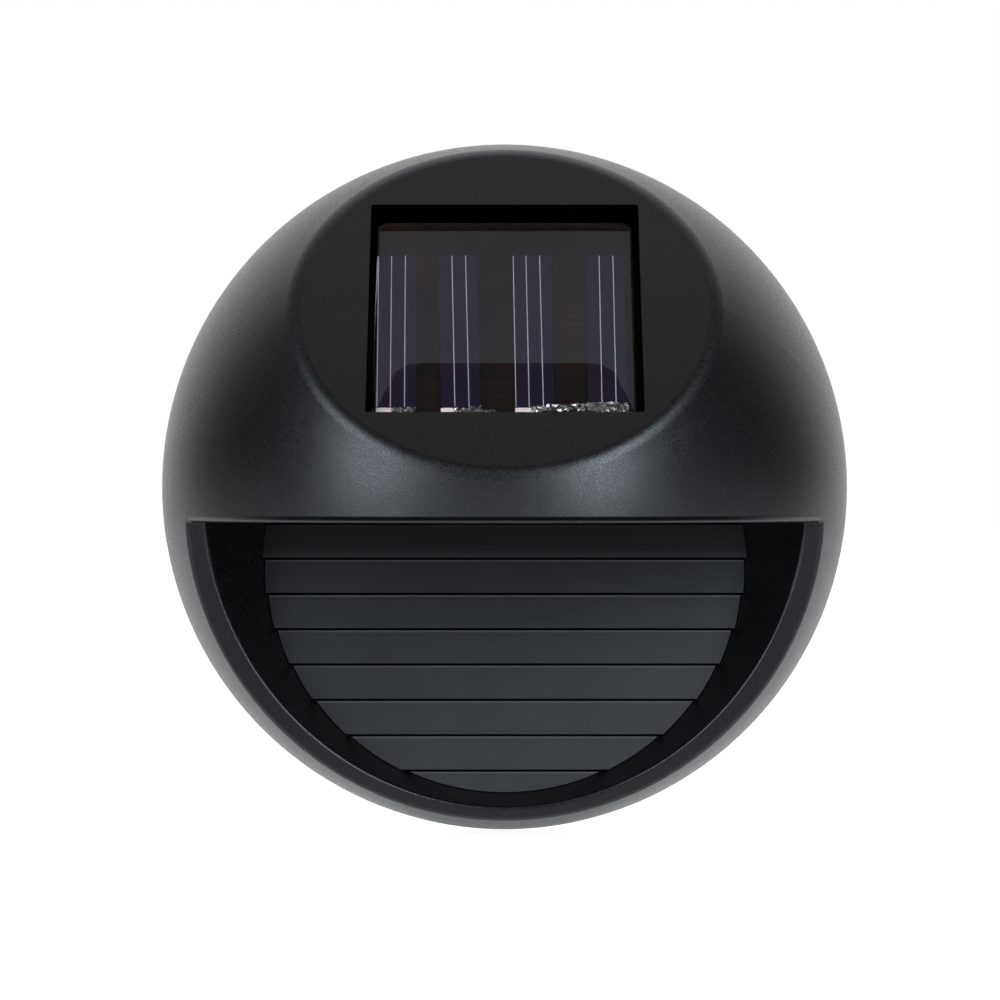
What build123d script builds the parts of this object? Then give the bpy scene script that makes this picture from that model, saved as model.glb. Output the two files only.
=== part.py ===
from build123d import *
import math
import os

# A round solar fence light.  Millimetres; the wall is the plane y = 0, the front looks along -Y and
# +Z is up.  The origin is the centre of the round face that lies on the wall.

os.makedirs("parts", exist_ok=True)

# ---------------------------------------------------------------- casing
BODY_R = 60.0              # radius of the half ball
WALL = 2.4                 # moulded wall
FACET_TILT = 37.5          # the facet's normal, degrees above the horizontal
FACET_CUT = 11.2           # the facet takes this much off the ball
FACET_BLEND = 4.0          # rounding between facet and ball
HOOD_Z = -6.0              # lower edge of the hood
EDGE_ROUND = 1.0           # rounding of the hood's edge and of the lip's outer edge
HOOD_RIM = 1.2             # the rim hangs this far below the shelf
SHELF_T = 2.2              # floor above the recess
LIP_DEPTH = 26.25          # lip's distance from the wall at the hood
LIP_TILT = 7.9             # lip plane, degrees from the wall
LIP_T = 2.2                # in-turned lip
LIP_ROUND = 0.6            # rounding of the lip's inner edge

# ---------------------------------------------------------------- recess
FLARE_BACK_DEPTH = 9.5     # the flared hollow is a slanting cone through two circles
FLARE_BACK_IN = 18.0       # a circle's radius is this much less than the ball's
FLARE_BACK_Z = -10.6
FLARE_FRONT_DEPTH = 26.0
FLARE_FRONT_IN = 9.55
FLARE_FRONT_Z = -5.4
FLARE_WALL = 2.0
REFLECTOR_SEAT = 6.6       # depth of the rim that the reflector plate seats on

# ---------------------------------------------------------------- reflector plate
BAND_PITCH = 6.1
BAND_START = -6.15         # height that the bands are counted down from
BAND_STEP = 1.1            # a band's lower edge stands this far in front of the next
BAND_DEPTH = 8.6           # depth of the first band's top
BAND_SLANT = 0.26          # each band starts this much further forward
GROOVE_H = 0.45            # shadow groove under each band
GROOVE_D = 0.8
REFLECTOR_FLANGE_T = 1.6
REFLECTOR_FLANGE_W = 3.2
REFLECTOR_SKIN = 2.0
REFLECTOR_EDGE_GAP = 0.15
REFLECTOR_TOP = -1.0       # upper edge of its flange
REFLECTOR_BOSS_R = 2.8
REFLECTOR_BOSS_L = 7.0
REFLECTOR_EAR_IN = 22.0    # screws on the shelf, in from the ball's side
REFLECTOR_EAR_R = 3.2
REFLECTOR_SIDE_ANGLE = 10.0  # screws beside the flare, degrees below its middle
BOSS_BITE = 0.4            # a boss is sunk this far into the wall it stands on

# ---------------------------------------------------------------- solar panel
PANEL_W = 43.0
PANEL_H = 43.0
PANEL_GAP = 1.0            # panel to window side
PANEL_SINK = 3.1           # panel's face below the facet
COVER_T = 1.5
COVER_CORNER = 1.8
COVER_ROUND = 0.9
BOARD_T = 1.2
TAPE_T = 0.6
TAPE_EDGE = 2.0            # the pad is this much smaller than the board
TRAY_FLOOR = 2.0
TRAY_WALL = 2.0
WINDOW_CORNER = 0.4
CELL_PLACES = (-0.415, -0.1756, 0.1095, 0.39)  # middles of the strips, shares of the width
CELL_TURNS = (0.7, 1.35, 0.7, -0.15)  # the strips are laid a little crooked, degrees
CELL_W = 6.5
CELL_H = 33.0
CELL_T = 0.3
CELL_DROP = 2.0            # the strips sit this far below the panel's middle
TAB_W = 3.0
TAB_H = 1.2
PANEL_LEAD_X = -7.0        # the leads' slot in the tray floor
PANEL_LEAD_UP = -4.0
LEAD_SLOT_W = 9.0
LEAD_SLOT_H = 3.2
LEAD_SHIFT = 2.0           # each panel lead beside the slot's middle
LEAD_DROP = 3.0            # the leads run straight this far behind the tray

# ---------------------------------------------------------------- back plate
PLATE_T = 2.4
FIT = 0.3                  # side gap of pieces that drop into each other
SEAL_T = 0.8
LEDGE_W = 2.8
LEDGE_T = 2.0
BOSS_IN = 7.0              # screws of the back plate, in from the ball's side
BOSS_R = 3.2
BOSS_DEPTH = 9.5
BOSS_ANGLES = (52, 128, 215, 325)

# ---------------------------------------------------------------- screws
SCREW_R = 1.25             # shank of the larger screws
SCREW_HEAD_R = 2.5
SCREW_HEAD_H = 1.2
SMALL_SCREW_R = 0.9
SMALL_HEAD_R = 1.8
SMALL_HEAD_H = 1.0
SCREW_PLAY = 0.08          # shank to the hole it bites in
HEAD_PLAY = 0.25           # head and shank to the piece they pass
HEAD_SINK = 0.2            # heads lie this far below the face
HEAD_CROWN = 0.45          # rounding of a head, share of its height
HEAD_CROSS_L = 1.2         # cross in a head, shares of its radius
HEAD_CROSS_W = 0.32
SCREW_POINT = 0.5          # bevel at a screw's tip, share of its radius
SCREW_SHORT = 2.0          # a screw stops this far short of its boss's end
HOLE_SHORT = 1.0           # a boss's hole stops this far short of it

# ---------------------------------------------------------------- battery
CELL_CAN_R = 5.25
CELL_CAN_L = 43.5
CELL_CAN_ROUND = 0.75
CELL_CAP_R = 1.9
CELL_CAP_L = 1.0
CELL_CAP_ROUND = 0.4
CELL_PLAY = 0.75           # cell to the bay's sides
CELL_TOUCH = 0.1           # cell to its contacts
CONTACT_T = 0.4
CONTACT_H = 9.0
SPRING_L = 5.0
SPRING_WIRE_R = 0.3
SPRING_R = 4.0
SPRING_TIP_R = 2.2
SPRING_TURNS = 3
BAY_Z = 24.0
BAY_WALL = 1.6
BAY_BACK = 3.9             # cell's nearest side to the wall
CONTACT_TAB_W = 2.4
CONTACT_TAB_L = 3.4

# ---------------------------------------------------------------- battery door
DOOR_T = 2.0
DOOR_OVER = 2.6            # door overlaps the bay's opening
DOOR_EAR = 9.0             # ear past the bay at each end
DOOR_SEAL_T = 0.6
DOOR_SEAL_W = 1.4
DOOR_GAP = 0.25
DOOR_LEDGE_T = 2.2
DOOR_CORNER = 2.0
DOOR_BOSS_DEPTH = 11.0
DOOR_SCREW_GAP = 1.0       # screw head to the bay's wall

# ---------------------------------------------------------------- switch
SWITCH_X = -20.0
SWITCH_Z = 6.0
SWITCH_TRAVEL = 2.0
WELL_W = 23.0
WELL_H = 8.0
WELL_DEPTH = 3.6
WELL_FLOOR = 1.4
WELL_WALL = 1.2
SWITCH_L = 11.0
SWITCH_W = 5.0
SWITCH_DEEP = 3.6
SWITCH_SHEET = 0.4
SWITCH_EAR_PITCH = 15.0
SWITCH_EAR_L = 19.0
KNOB_W = 2.2
KNOB_H = 2.0
KNOB_RISE = 2.2
KNOB_PLAY = 0.3
SWITCH_BASE_T = 1.2
FOOT_W = 4.8
FOOT_T = 1.4
FOOT_PLAY = 0.1
KNOB_ROUND = 0.3
PIN_PITCH = 2.5
PIN_L = 3.4
PIN_W = 0.6
PIN_T = 0.3
SWITCH_SCREW_OUT = 1.5     # tips of the switch's screws behind its frame

# ---------------------------------------------------------------- keyholes
KEYHOLE_IN = 18.5          # in from the ball's side
KEYHOLE_Z = 10.5
KEYHOLE_R = 4.6
KEYHOLE_SLOT_R = 2.3
KEYHOLE_RISE = 8.0
KEYHOLE_POCKET = 6.0       # depth of the closed pocket behind the plate
KEYHOLE_ROOM = 1.0         # pocket's side to the round end
POCKET_WALL = 1.2

# ---------------------------------------------------------------- lamp and circuit
LED_IN = 34.0              # the lamp, in from the ball's front
LED_R = 2.5
LED_L = 8.6
LED_FLANGE_R = 2.9
LED_FLANGE_T = 1.0
LED_TOUCH = 0.1            # gaps between the lamp, its window and the shelf
LEG_PITCH = 2.54
LEG_W = 0.5
WINDOW_R = 3.8
WINDOW_FLANGE_R = 5.0
WINDOW_FLANGE_T = 1.0
BOARD_X = 34.0
BOARD_Y = 22.0
BOARD_Z = 9.6
BOARD_THICK = 1.6
POST_X = 14.0
POST_R = 2.6
LEG_TAIL = 1.0
CHIP_AHEAD = 7.0           # the chip, in front of the lamp
CHIP_W = 4.2
CHIP_D = 1.6
CHIP_H = 3.2
CHIP_LIFT = 1.6
CHIP_PINS = 3
CHIP_PITCH = 1.27
CHIP_PIN_W = 0.4
INDUCTOR_X = 7.0
INDUCTOR_BEHIND = 6.0
INDUCTOR_R = 1.8
INDUCTOR_L = 7.0
INDUCTOR_ROUND = 1.1
INDUCTOR_SPAN = 10.0
INDUCTOR_LIFT = 0.4
INDUCTOR_LEG_R = 0.3
WIRE_R = 0.6
SOLAR_PAD_Y = 2.5          # the panel leads' pads, in front of the lamp
BATTERY_PAD_IN = 1.8       # the battery leads' pads, in from the board's rear corners
SWITCH_PAD_IN = 5.0
SWITCH_PAD_RED = 1.4
SWITCH_PAD_BLACK = 4.6

# ---------------------------------------------------------------- worked-out values
INNER_R = BODY_R - WALL
FACET_DIST = BODY_R - FACET_CUT
FLARE_BACK_R = BODY_R - FLARE_BACK_IN
FLARE_FRONT_R = BODY_R - FLARE_FRONT_IN
REFLECTOR_EAR_X = BODY_R - REFLECTOR_EAR_IN
BOSS_AT = BODY_R - BOSS_IN
KEYHOLE_X = BODY_R - KEYHOLE_IN
LED_Y = LED_IN - BODY_R
CHIP_Y = LED_Y - CHIP_AHEAD
INDUCTOR_Y = LED_Y + INDUCTOR_BEHIND
SHELF_BOTTOM = HOOD_Z + HOOD_RIM
SHELF_TOP = SHELF_BOTTOM + SHELF_T
tilt = math.radians(FACET_TILT)
FACET_N = Vector(0, -math.cos(tilt), math.sin(tilt))
lean = math.radians(LIP_TILT)
LIP_N = Vector(0, -math.cos(lean), -math.sin(lean))
LIP_DIST = LIP_N.dot(Vector(0, -LIP_DEPTH, HOOD_Z))
WINDOW_W = PANEL_W + 2 * PANEL_GAP
WINDOW_H = PANEL_H + 2 * PANEL_GAP
COVER_TOP = FACET_DIST - PANEL_SINK
BOARD_TOP = COVER_TOP - COVER_T
TAPE_TOP = BOARD_TOP - BOARD_T
TRAY_TOP = TAPE_TOP - TAPE_T
TRAY_BOTTOM = TRAY_TOP - TRAY_FLOOR
PLATE_R = INNER_R - FIT
LEDGE_R = INNER_R - LEDGE_W
SEAL_DEPTH = PLATE_T + SEAL_T
FLANGE_BACK = REFLECTOR_SEAT - REFLECTOR_FLANGE_T
CELL_Y = -(BAY_BACK + CELL_CAN_R)
CELL_L = CELL_CAN_L + CELL_CAP_L
BAY_L = CELL_L + SPRING_L + 2 * CONTACT_T + 2 * CELL_TOUCH
BAY_H = 2 * (CELL_CAN_R + CELL_PLAY)
BAY_DEPTH = BAY_BACK + 2 * CELL_CAN_R + CELL_PLAY
CELL_TIP_X = BAY_L / 2 - CONTACT_T - CELL_TOUCH
CELL_END_X = CELL_TIP_X - CELL_L
DOOR_SEAT = DOOR_T + DOOR_SEAL_T
DOOR_L = BAY_L + 2 * DOOR_EAR
DOOR_H = BAY_H + 2 * DOOR_OVER
DOOR_SCREW_X = BAY_L / 2 + BAY_WALL + SCREW_HEAD_R + DOOR_SCREW_GAP
SWITCH_SEAT = WELL_DEPTH + WELL_FLOOR
LED_TIP = SHELF_TOP + LED_TOUCH
DOWN = Vector(0, 0, -1)
FAR = 4 * BODY_R
CUT = 1.0                  # overrun of a cutting shape past the face it opens
NEAR = 0.01                # tolerance for finding edges by their place


# ---------------------------------------------------------------- helpers
def slab(x0, x1, y0, y1, z0, z1):
    """A box between two corners."""
    middle = Pos((x0 + x1) / 2, (y0 + y1) / 2, (z0 + z1) / 2)
    return middle * Box(abs(x1 - x0), abs(y1 - y0), abs(z1 - z0))


def bar(x, z, depth0, depth1, r):
    """A round bar square to the wall, between two depths."""
    middle = Pos(x, -(depth0 + depth1) / 2, z)
    return middle * Rot(90, 0, 0) * Cylinder(r, abs(depth1 - depth0))


def post(x, y, z0, z1, r):
    """An upright round bar."""
    return Pos(x, y, (z0 + z1) / 2) * Cylinder(r, abs(z1 - z0))


def beyond(normal, dist):
    """Everything further along normal than dist."""
    front = Plane(origin=normal * dist, x_dir=(1, 0, 0), z_dir=normal)
    return front * Box(FAR, FAR, FAR, align=(Align.CENTER, Align.CENTER, Align.MIN))


def above(z):
    return slab(-FAR, FAR, -FAR, FAR, z, FAR)


def below(z):
    return slab(-FAR, FAR, -FAR, FAR, -FAR, z)


def on_facet(dist):
    """A plane parallel to the facet; its x is +X and its y runs up the slope."""
    return Plane(origin=FACET_N * dist, x_dir=(1, 0, 0), z_dir=FACET_N)


def ball(r):
    """A ball whose poles lie on the facet's axis."""
    return on_facet(0) * Sphere(r)


def facet_block(dist0, dist1, w, h, x=0.0, up=0.0):
    """A box lying on the facet's slope, between two distances from the ball's centre."""
    block = Box(w, h, dist1 - dist0, align=(Align.CENTER, Align.CENTER, Align.MIN))
    return on_facet(dist0) * Pos(x, up, 0) * block


def facet_point(dist, x, up):
    return on_facet(dist).from_local_coords(Vector(x, up, 0))


def flare_share(depth):
    return (depth - FLARE_BACK_DEPTH) / (FLARE_FRONT_DEPTH - FLARE_BACK_DEPTH)


def flare_r(depth):
    return FLARE_BACK_R + flare_share(depth) * (FLARE_FRONT_R - FLARE_BACK_R)


def flare_z(depth):
    return FLARE_BACK_Z + flare_share(depth) * (FLARE_FRONT_Z - FLARE_BACK_Z)


def flare(grow, depth0, depth1):
    """The slanting cone of the recess, grown outwards, between two depths."""
    rings = []
    for depth in (depth0, depth1):
        centre = Plane(origin=(0, -depth, flare_z(depth)), x_dir=(1, 0, 0), z_dir=(0, -1, 0))
        rings.append(centre * Circle(flare_r(depth) + grow))
    return loft(rings, ruled=True)


def wire(points, first, last):
    """A round wire through a list of points, leaving and arriving along two directions."""
    path = Spline(*points, tangents=(first, last))
    return sweep(Plane(origin=path @ 0, z_dir=path % 0) * Circle(WIRE_R), path=path)


def screw(r, head_r, head_h, length):
    """A pan-head screw on its own axis: the head's seat is z = 0 and the shank goes down."""
    head = Cylinder(head_r, head_h, align=(Align.CENTER, Align.CENTER, Align.MIN))
    head = fillet(head.edges().group_by(Axis.Z)[-1], head_h * HEAD_CROWN)
    shank = Cylinder(r, length, align=(Align.CENTER, Align.CENTER, Align.MAX))
    shank = chamfer(shank.edges().group_by(Axis.Z)[0], r * SCREW_POINT)
    arm = Box(head_r * HEAD_CROSS_L, head_r * HEAD_CROSS_W, head_h)
    cross = Pos(0, 0, head_h) * (arm + Rot(0, 0, 90) * arm)
    return head + shank - cross


def from_behind(x, z, depth):
    """Places a screw that is driven from the wall side, with its seat at a depth."""
    return Pos(x, -depth, z) * Rot(-90, 0, 0)


def boss_places():
    """The back plate's screw places, as (x, z)."""
    places = []
    for angle in BOSS_ANGLES:
        turn = math.radians(angle)
        places.append((BOSS_AT * math.cos(turn), BOSS_AT * math.sin(turn)))
    return places


def reflector_places():
    """The reflector plate's screw places, as (x, z): two on the shelf and two beside the flare."""
    ear_z = SHELF_TOP + REFLECTOR_BOSS_R - BOSS_BITE
    turn = math.radians(REFLECTOR_SIDE_ANGLE)
    reach = flare_r(REFLECTOR_SEAT) + FLARE_WALL + REFLECTOR_BOSS_R - BOSS_BITE
    side_x = reach * math.cos(turn)
    side_z = flare_z(REFLECTOR_SEAT) - reach * math.sin(turn)
    return [(REFLECTOR_EAR_X, ear_z), (-REFLECTOR_EAR_X, ear_z), (side_x, side_z), (-side_x, side_z)]


# ---------------------------------------------------------------- casing
def lip_edges(shape):
    """The long edges in the lip's front face, the shortest first."""
    curves = [e for e in shape.edges() if (e @ 0.5).Z < HOOD_Z - EDGE_ROUND and e.length > BODY_R]
    flat = [e for e in curves if abs((e @ 0.5).dot(LIP_N) - LIP_DIST) < NEAR]
    return sorted(flat, key=lambda e: e.length)


def outer_shape():
    """The half ball with its facet and hood, before anything is hollowed."""
    upper = ball(BODY_R) - beyond(FACET_N, FACET_DIST) - slab(-FAR, FAR, 0, FAR, -FAR, FAR)
    rim = upper.edges().filter_by(GeomType.CIRCLE).sort_by(lambda e: -e.center().dot(FACET_N))[0]
    upper = fillet(rim, FACET_BLEND)
    bite = beyond(LIP_N, LIP_DIST) & below(HOOD_Z)
    shape = upper - bite
    hood = [e for e in shape.edges() if abs(e.center().Z - HOOD_Z) < NEAR and e.length > BODY_R]
    return fillet(hood + lip_edges(shape), EDGE_ROUND)


def upper_cavity():
    """The room above the shelf, round the solar tray."""
    room = ball(INNER_R) - beyond(FACET_N, FACET_DIST - WALL) - below(SHELF_TOP)
    return room - facet_block(TRAY_BOTTOM, FACET_DIST, WINDOW_W + 2 * TRAY_WALL,
                              WINDOW_H + 2 * TRAY_WALL)


def lower_cavity():
    """The room between the flared wall and the ball, behind the lip."""
    room = ball(INNER_R) - beyond(LIP_N, LIP_DIST - LIP_T) - above(SHELF_BOTTOM)
    return room - flare(FLARE_WALL, REFLECTOR_SEAT, FLARE_FRONT_DEPTH + LIP_T)


def rear_room():
    """The room behind the reflector's seat, right across the casing."""
    return ball(INNER_R) & slab(-FAR, FAR, -REFLECTOR_SEAT, FAR, -FAR, FAR)


def lip_ring():
    """The part of the lip that stays outside the flared hollow."""
    layer = beyond(LIP_N, LIP_DIST - LIP_T) - beyond(LIP_N, LIP_DIST)
    return (layer & below(HOOD_Z)) - flare(0, REFLECTOR_SEAT, FLARE_FRONT_DEPTH + LIP_T)


def recess():
    """The hollow below the hood: the flared part and the shallow space inside the hood's rim."""
    cone = flare(0, REFLECTOR_SEAT - CUT, FLARE_FRONT_DEPTH + LIP_T)
    in_rim = (ball(INNER_R) & beyond(LIP_N, LIP_DIST - LIP_T)) & above(HOOD_Z - CUT)
    return cone + in_rim - above(SHELF_BOTTOM) - lip_ring()


def back_ledge():
    """The ring that the back seal and plate lie on."""
    ring = bar(0, 0, SEAL_DEPTH, SEAL_DEPTH + LEDGE_T, INNER_R + WALL / 2)
    return ring - bar(0, 0, SEAL_DEPTH - CUT, SEAL_DEPTH + LEDGE_T + CUT, LEDGE_R)


def slope_edges(block):
    """A facet block's edges that run square to the facet."""
    return block.edges().filter_by(Axis((0, 0, 0), FACET_N))


def solar_window():
    """The pocket that the solar panel lies in."""
    block = facet_block(TRAY_TOP, FACET_DIST + FACET_BLEND, WINDOW_W, WINDOW_H)
    return fillet(slope_edges(block), WINDOW_CORNER)


def lead_slot(dist0, dist1):
    return facet_block(dist0, dist1, LEAD_SLOT_W, LEAD_SLOT_H, PANEL_LEAD_X, PANEL_LEAD_UP)


def dome_shell():
    shell = outer_shape() - upper_cavity() - lower_cavity() - rear_room() + back_ledge()
    for x, z in boss_places():
        shell += bar(x, z, PLATE_T, BOSS_DEPTH, BOSS_R)
        shell -= bar(x, z, PLATE_T - CUT, BOSS_DEPTH - HOLE_SHORT, SCREW_R + SCREW_PLAY)
    for x, z in reflector_places():
        end = REFLECTOR_SEAT + REFLECTOR_BOSS_L
        shell += bar(x, z, REFLECTOR_SEAT, end, REFLECTOR_BOSS_R)
        shell -= bar(x, z, REFLECTOR_SEAT - CUT, end - HOLE_SHORT, SMALL_SCREW_R + SCREW_PLAY)
    for x in (-POST_X, POST_X):
        shell += post(x, LED_Y, SHELF_TOP - SHELF_T / 2, BOARD_Z, POST_R)
        shell -= post(x, LED_Y, SHELF_TOP + HOLE_SHORT, BOARD_Z + CUT, SMALL_SCREW_R + SCREW_PLAY)
    shell -= recess()
    shell -= solar_window()
    shell -= lead_slot(TRAY_BOTTOM - CUT, TRAY_TOP + CUT)
    shell -= post(0, LED_Y, SHELF_BOTTOM - CUT, SHELF_TOP + CUT, WINDOW_R)
    shell -= post(0, LED_Y, SHELF_TOP - WINDOW_FLANGE_T, SHELF_TOP + CUT, WINDOW_FLANGE_R)
    return fillet(lip_edges(shell)[0], LIP_ROUND)


# ---------------------------------------------------------------- reflector plate
def band_count():
    """How many bands reach down to the flare's lowest point."""
    front = BAND_DEPTH + BAND_STEP
    return math.ceil((BAND_START - flare_z(front) + flare_r(front)) / BAND_PITCH)


def band_profile():
    """The lapped bands seen from the side, as (y, z) points, closed along the seat."""
    points = [(-REFLECTOR_SEAT, SHELF_BOTTOM - REFLECTOR_EDGE_GAP)]
    points.append((-BAND_DEPTH, SHELF_BOTTOM - REFLECTOR_EDGE_GAP))
    for band in range(band_count()):
        depth = BAND_DEPTH + band * BAND_SLANT
        low = BAND_START - (band + 1) * BAND_PITCH
        floor = depth + BAND_SLANT - GROOVE_D
        points.append((-depth - BAND_STEP, low))
        points.append((-floor, low))
        points.append((-floor, low - GROOVE_H))
        points.append((-depth - BAND_SLANT, low - GROOVE_H))
    points.append((-REFLECTOR_SEAT, BAND_START - band_count() * BAND_PITCH - GROOVE_H))
    return points


def across(points):
    """A wide bar along X with an outline of (y, z) points."""
    outline = make_face(Polyline(*points, close=True))
    return extrude(Plane.YZ * outline, BODY_R, both=True)


def reflector_plate():
    front = REFLECTOR_SEAT + band_count() * BAND_SLANT + BAND_STEP + BAND_DEPTH
    plate = across(band_profile()) & flare(-REFLECTOR_EDGE_GAP, FLANGE_BACK, front)
    flange_r = flare_r(REFLECTOR_SEAT) + REFLECTOR_FLANGE_W
    flange = bar(0, flare_z(REFLECTOR_SEAT), FLANGE_BACK, REFLECTOR_SEAT, flange_r)
    plate += flange & below(REFLECTOR_TOP) & bar(0, 0, 0, front, LEDGE_R - FIT)
    for x, z in reflector_places():
        plate += bar(x, z, FLANGE_BACK, REFLECTOR_SEAT, REFLECTOR_EAR_R)
    high = SHELF_BOTTOM - REFLECTOR_SKIN
    low = BAND_START - band_count() * BAND_PITCH
    wedge = [(0, high), (REFLECTOR_SKIN - BAND_DEPTH, high)]
    wedge.append((REFLECTOR_SKIN - BAND_DEPTH - band_count() * BAND_SLANT, low))
    wedge.append((0, low))
    plate -= across(wedge) & flare(-REFLECTOR_SKIN - CUT, FLANGE_BACK - CUT, front)
    for x, z in reflector_places():
        plate -= bar(x, z, FLANGE_BACK - CUT, REFLECTOR_SEAT + CUT, SMALL_SCREW_R + HEAD_PLAY)
    return plate


def reflector_screws():
    length = REFLECTOR_FLANGE_T + REFLECTOR_BOSS_L - SCREW_SHORT
    one = screw(SMALL_SCREW_R, SMALL_HEAD_R, SMALL_HEAD_H, length)
    return [from_behind(x, z, FLANGE_BACK) * one for x, z in reflector_places()]


# ---------------------------------------------------------------- solar panel
def solar_tape():
    pad = facet_block(TRAY_TOP, TAPE_TOP, PANEL_W - TAPE_EDGE, PANEL_H - TAPE_EDGE)
    return pad - lead_slot(TRAY_TOP - CUT, TAPE_TOP + CUT)


def cell_seats():
    """Where the strips lie on the board."""
    return [on_facet(BOARD_TOP) * Pos(share * PANEL_W, -CELL_DROP, 0) * Rot(0, 0, turn)
            for share, turn in zip(CELL_PLACES, CELL_TURNS)]


def solar_cells():
    strip = Box(CELL_W, CELL_H, CELL_T, align=(Align.CENTER, Align.CENTER, Align.MIN))
    return [seat * strip for seat in cell_seats()]


def solar_tabs():
    tab = Box(TAB_W, TAB_H, CELL_T, align=(Align.CENTER, Align.MAX, Align.MIN))
    return [seat * Pos((TAB_W - CELL_W) / 2, -CELL_H / 2, 0) * tab for seat in cell_seats()]


def solar_cover():
    cover = facet_block(BOARD_TOP, COVER_TOP, PANEL_W, PANEL_H)
    cover = fillet(slope_edges(cover), COVER_CORNER)
    top =cover.faces().sort_by(lambda f: f.center().dot(FACET_N))[-1]
    cover = fillet(top.edges(), COVER_ROUND)
    for piece in solar_cells() + solar_tabs():
        cover -= piece
    return cover


# ---------------------------------------------------------------- lamp and circuit
def led_window():
    window = post(0, LED_Y, SHELF_BOTTOM, SHELF_TOP - LED_TOUCH, WINDOW_R - LED_TOUCH)
    flange = post(0, LED_Y, SHELF_TOP - WINDOW_FLANGE_T, SHELF_TOP - LED_TOUCH,
                  WINDOW_FLANGE_R - LED_TOUCH)
    return window + flange


def led():
    body = post(0, LED_Y, LED_TIP + LED_R, LED_TIP + LED_L, LED_R)
    body += Pos(0, LED_Y, LED_TIP + LED_R) * Sphere(LED_R)
    return body + post(0, LED_Y, LED_TIP + LED_L - LED_FLANGE_T, LED_TIP + LED_L, LED_FLANGE_R)


def led_legs(grow=0.0):
    legs = []
    for side in (-1, 1):
        x = side * LEG_PITCH / 2
        half = LEG_W / 2 + grow
        legs.append(slab(x - half, x + half, LED_Y - half, LED_Y + half, LED_TIP + LED_L,
                         BOARD_Z + BOARD_THICK + LEG_TAIL))
    return legs


def circuit_board():
    board = slab(-BOARD_X / 2, BOARD_X / 2, LED_Y - BOARD_Y / 2, LED_Y + BOARD_Y / 2, BOARD_Z,
                 BOARD_Z + BOARD_THICK)
    for x in (-POST_X, POST_X):
        board -= post(x, LED_Y, BOARD_Z - CUT, BOARD_Z + BOARD_THICK + CUT, SMALL_SCREW_R + HEAD_PLAY)
    for leg in led_legs(SCREW_PLAY):
        board -= leg
    return board


def circuit_board_screws():
    one = screw(SMALL_SCREW_R, SMALL_HEAD_R, SMALL_HEAD_H, BOARD_Z - SHELF_TOP - SCREW_SHORT)
    return [Pos(x, LED_Y, BOARD_Z + BOARD_THICK) * one for x in (-POST_X, POST_X)]


def driver_chip():
    low = BOARD_Z + BOARD_THICK
    chip = slab(-CHIP_W / 2, CHIP_W / 2, CHIP_Y - CHIP_D / 2, CHIP_Y + CHIP_D / 2, low + CHIP_LIFT,
                low + CHIP_LIFT + CHIP_H)
    half = CHIP_PIN_W / 2
    for pin in range(CHIP_PINS):
        x = (pin - (CHIP_PINS - 1) / 2) * CHIP_PITCH
        chip += slab(x - half, x + half, CHIP_Y - half, CHIP_Y + half, low, low + CHIP_LIFT + CHIP_H / 2)
    return chip


def inductor():
    low = BOARD_Z + BOARD_THICK
    axis_z = low + INDUCTOR_R + INDUCTOR_LIFT
    body = Pos(INDUCTOR_X, INDUCTOR_Y, axis_z) * Rot(0, 90, 0) * Cylinder(INDUCTOR_R, INDUCTOR_L)
    body = fillet(body.edges().filter_by(GeomType.CIRCLE), INDUCTOR_ROUND)
    body += Pos(INDUCTOR_X, INDUCTOR_Y, axis_z) * Rot(0, 90, 0) * Cylinder(INDUCTOR_LEG_R, INDUCTOR_SPAN)
    for side in (-1, 1):
        x = INDUCTOR_X + side * (INDUCTOR_SPAN / 2 - INDUCTOR_LEG_R)
        body += post(x, INDUCTOR_Y, low, axis_z, INDUCTOR_LEG_R)
    return body


# ---------------------------------------------------------------- back plate
def bay(grow, depth0, depth1):
    """A block round the battery bay."""
    half_x = BAY_L / 2 + grow
    half_z = BAY_H / 2 + grow
    return slab(-half_x, half_x, -depth1, -depth0, BAY_Z - half_z, BAY_Z + half_z)


def door_block(grow, depth0, depth1, corner):
    """A block with the battery door's outline."""
    half_x = DOOR_L / 2 + grow
    half_z = DOOR_H / 2 + grow
    block = slab(-half_x, half_x, -depth1, -depth0, BAY_Z - half_z, BAY_Z + half_z)
    return fillet(block.edges().filter_by(Axis.Y), corner)


def well(grow, depth0, depth1):
    """A block round the switch well."""
    half_x = WELL_W / 2 + grow
    half_z = WELL_H / 2 + grow
    return slab(SWITCH_X - half_x, SWITCH_X + half_x, -depth1, -depth0, SWITCH_Z - half_z,
                SWITCH_Z + half_z)


def keyhole_pocket(x, grow, depth0, depth1):
    half = KEYHOLE_R + KEYHOLE_ROOM + grow
    return slab(x - half, x + half, -depth1, -depth0, KEYHOLE_Z - half, KEYHOLE_Z + KEYHOLE_RISE + half)


def keyhole(x):
    """The round end, the slot above it and the pocket behind them."""
    top = KEYHOLE_Z + KEYHOLE_RISE
    hole = bar(x, KEYHOLE_Z, -CUT, PLATE_T + CUT, KEYHOLE_R)
    hole += bar(x, top, -CUT, PLATE_T + CUT, KEYHOLE_SLOT_R)
    hole += slab(x - KEYHOLE_SLOT_R, x + KEYHOLE_SLOT_R, -PLATE_T - CUT, CUT, KEYHOLE_Z, top)
    return hole + keyhole_pocket(x, 0, PLATE_T, PLATE_T + KEYHOLE_POCKET)


def contact_tab(side, grow):
    """The strip of a battery contact that passes through the bay's end wall."""
    end = BAY_L / 2 + CONTACT_TAB_L
    near = BAY_L / 2 - grow
    half = CONTACT_TAB_W / 2 + grow
    low = BAY_Z - CONTACT_H / 2
    return slab(side * near, side * (end + grow), CELL_Y - half, CELL_Y + half, low - grow,
                low + CONTACT_T + grow)


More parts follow.
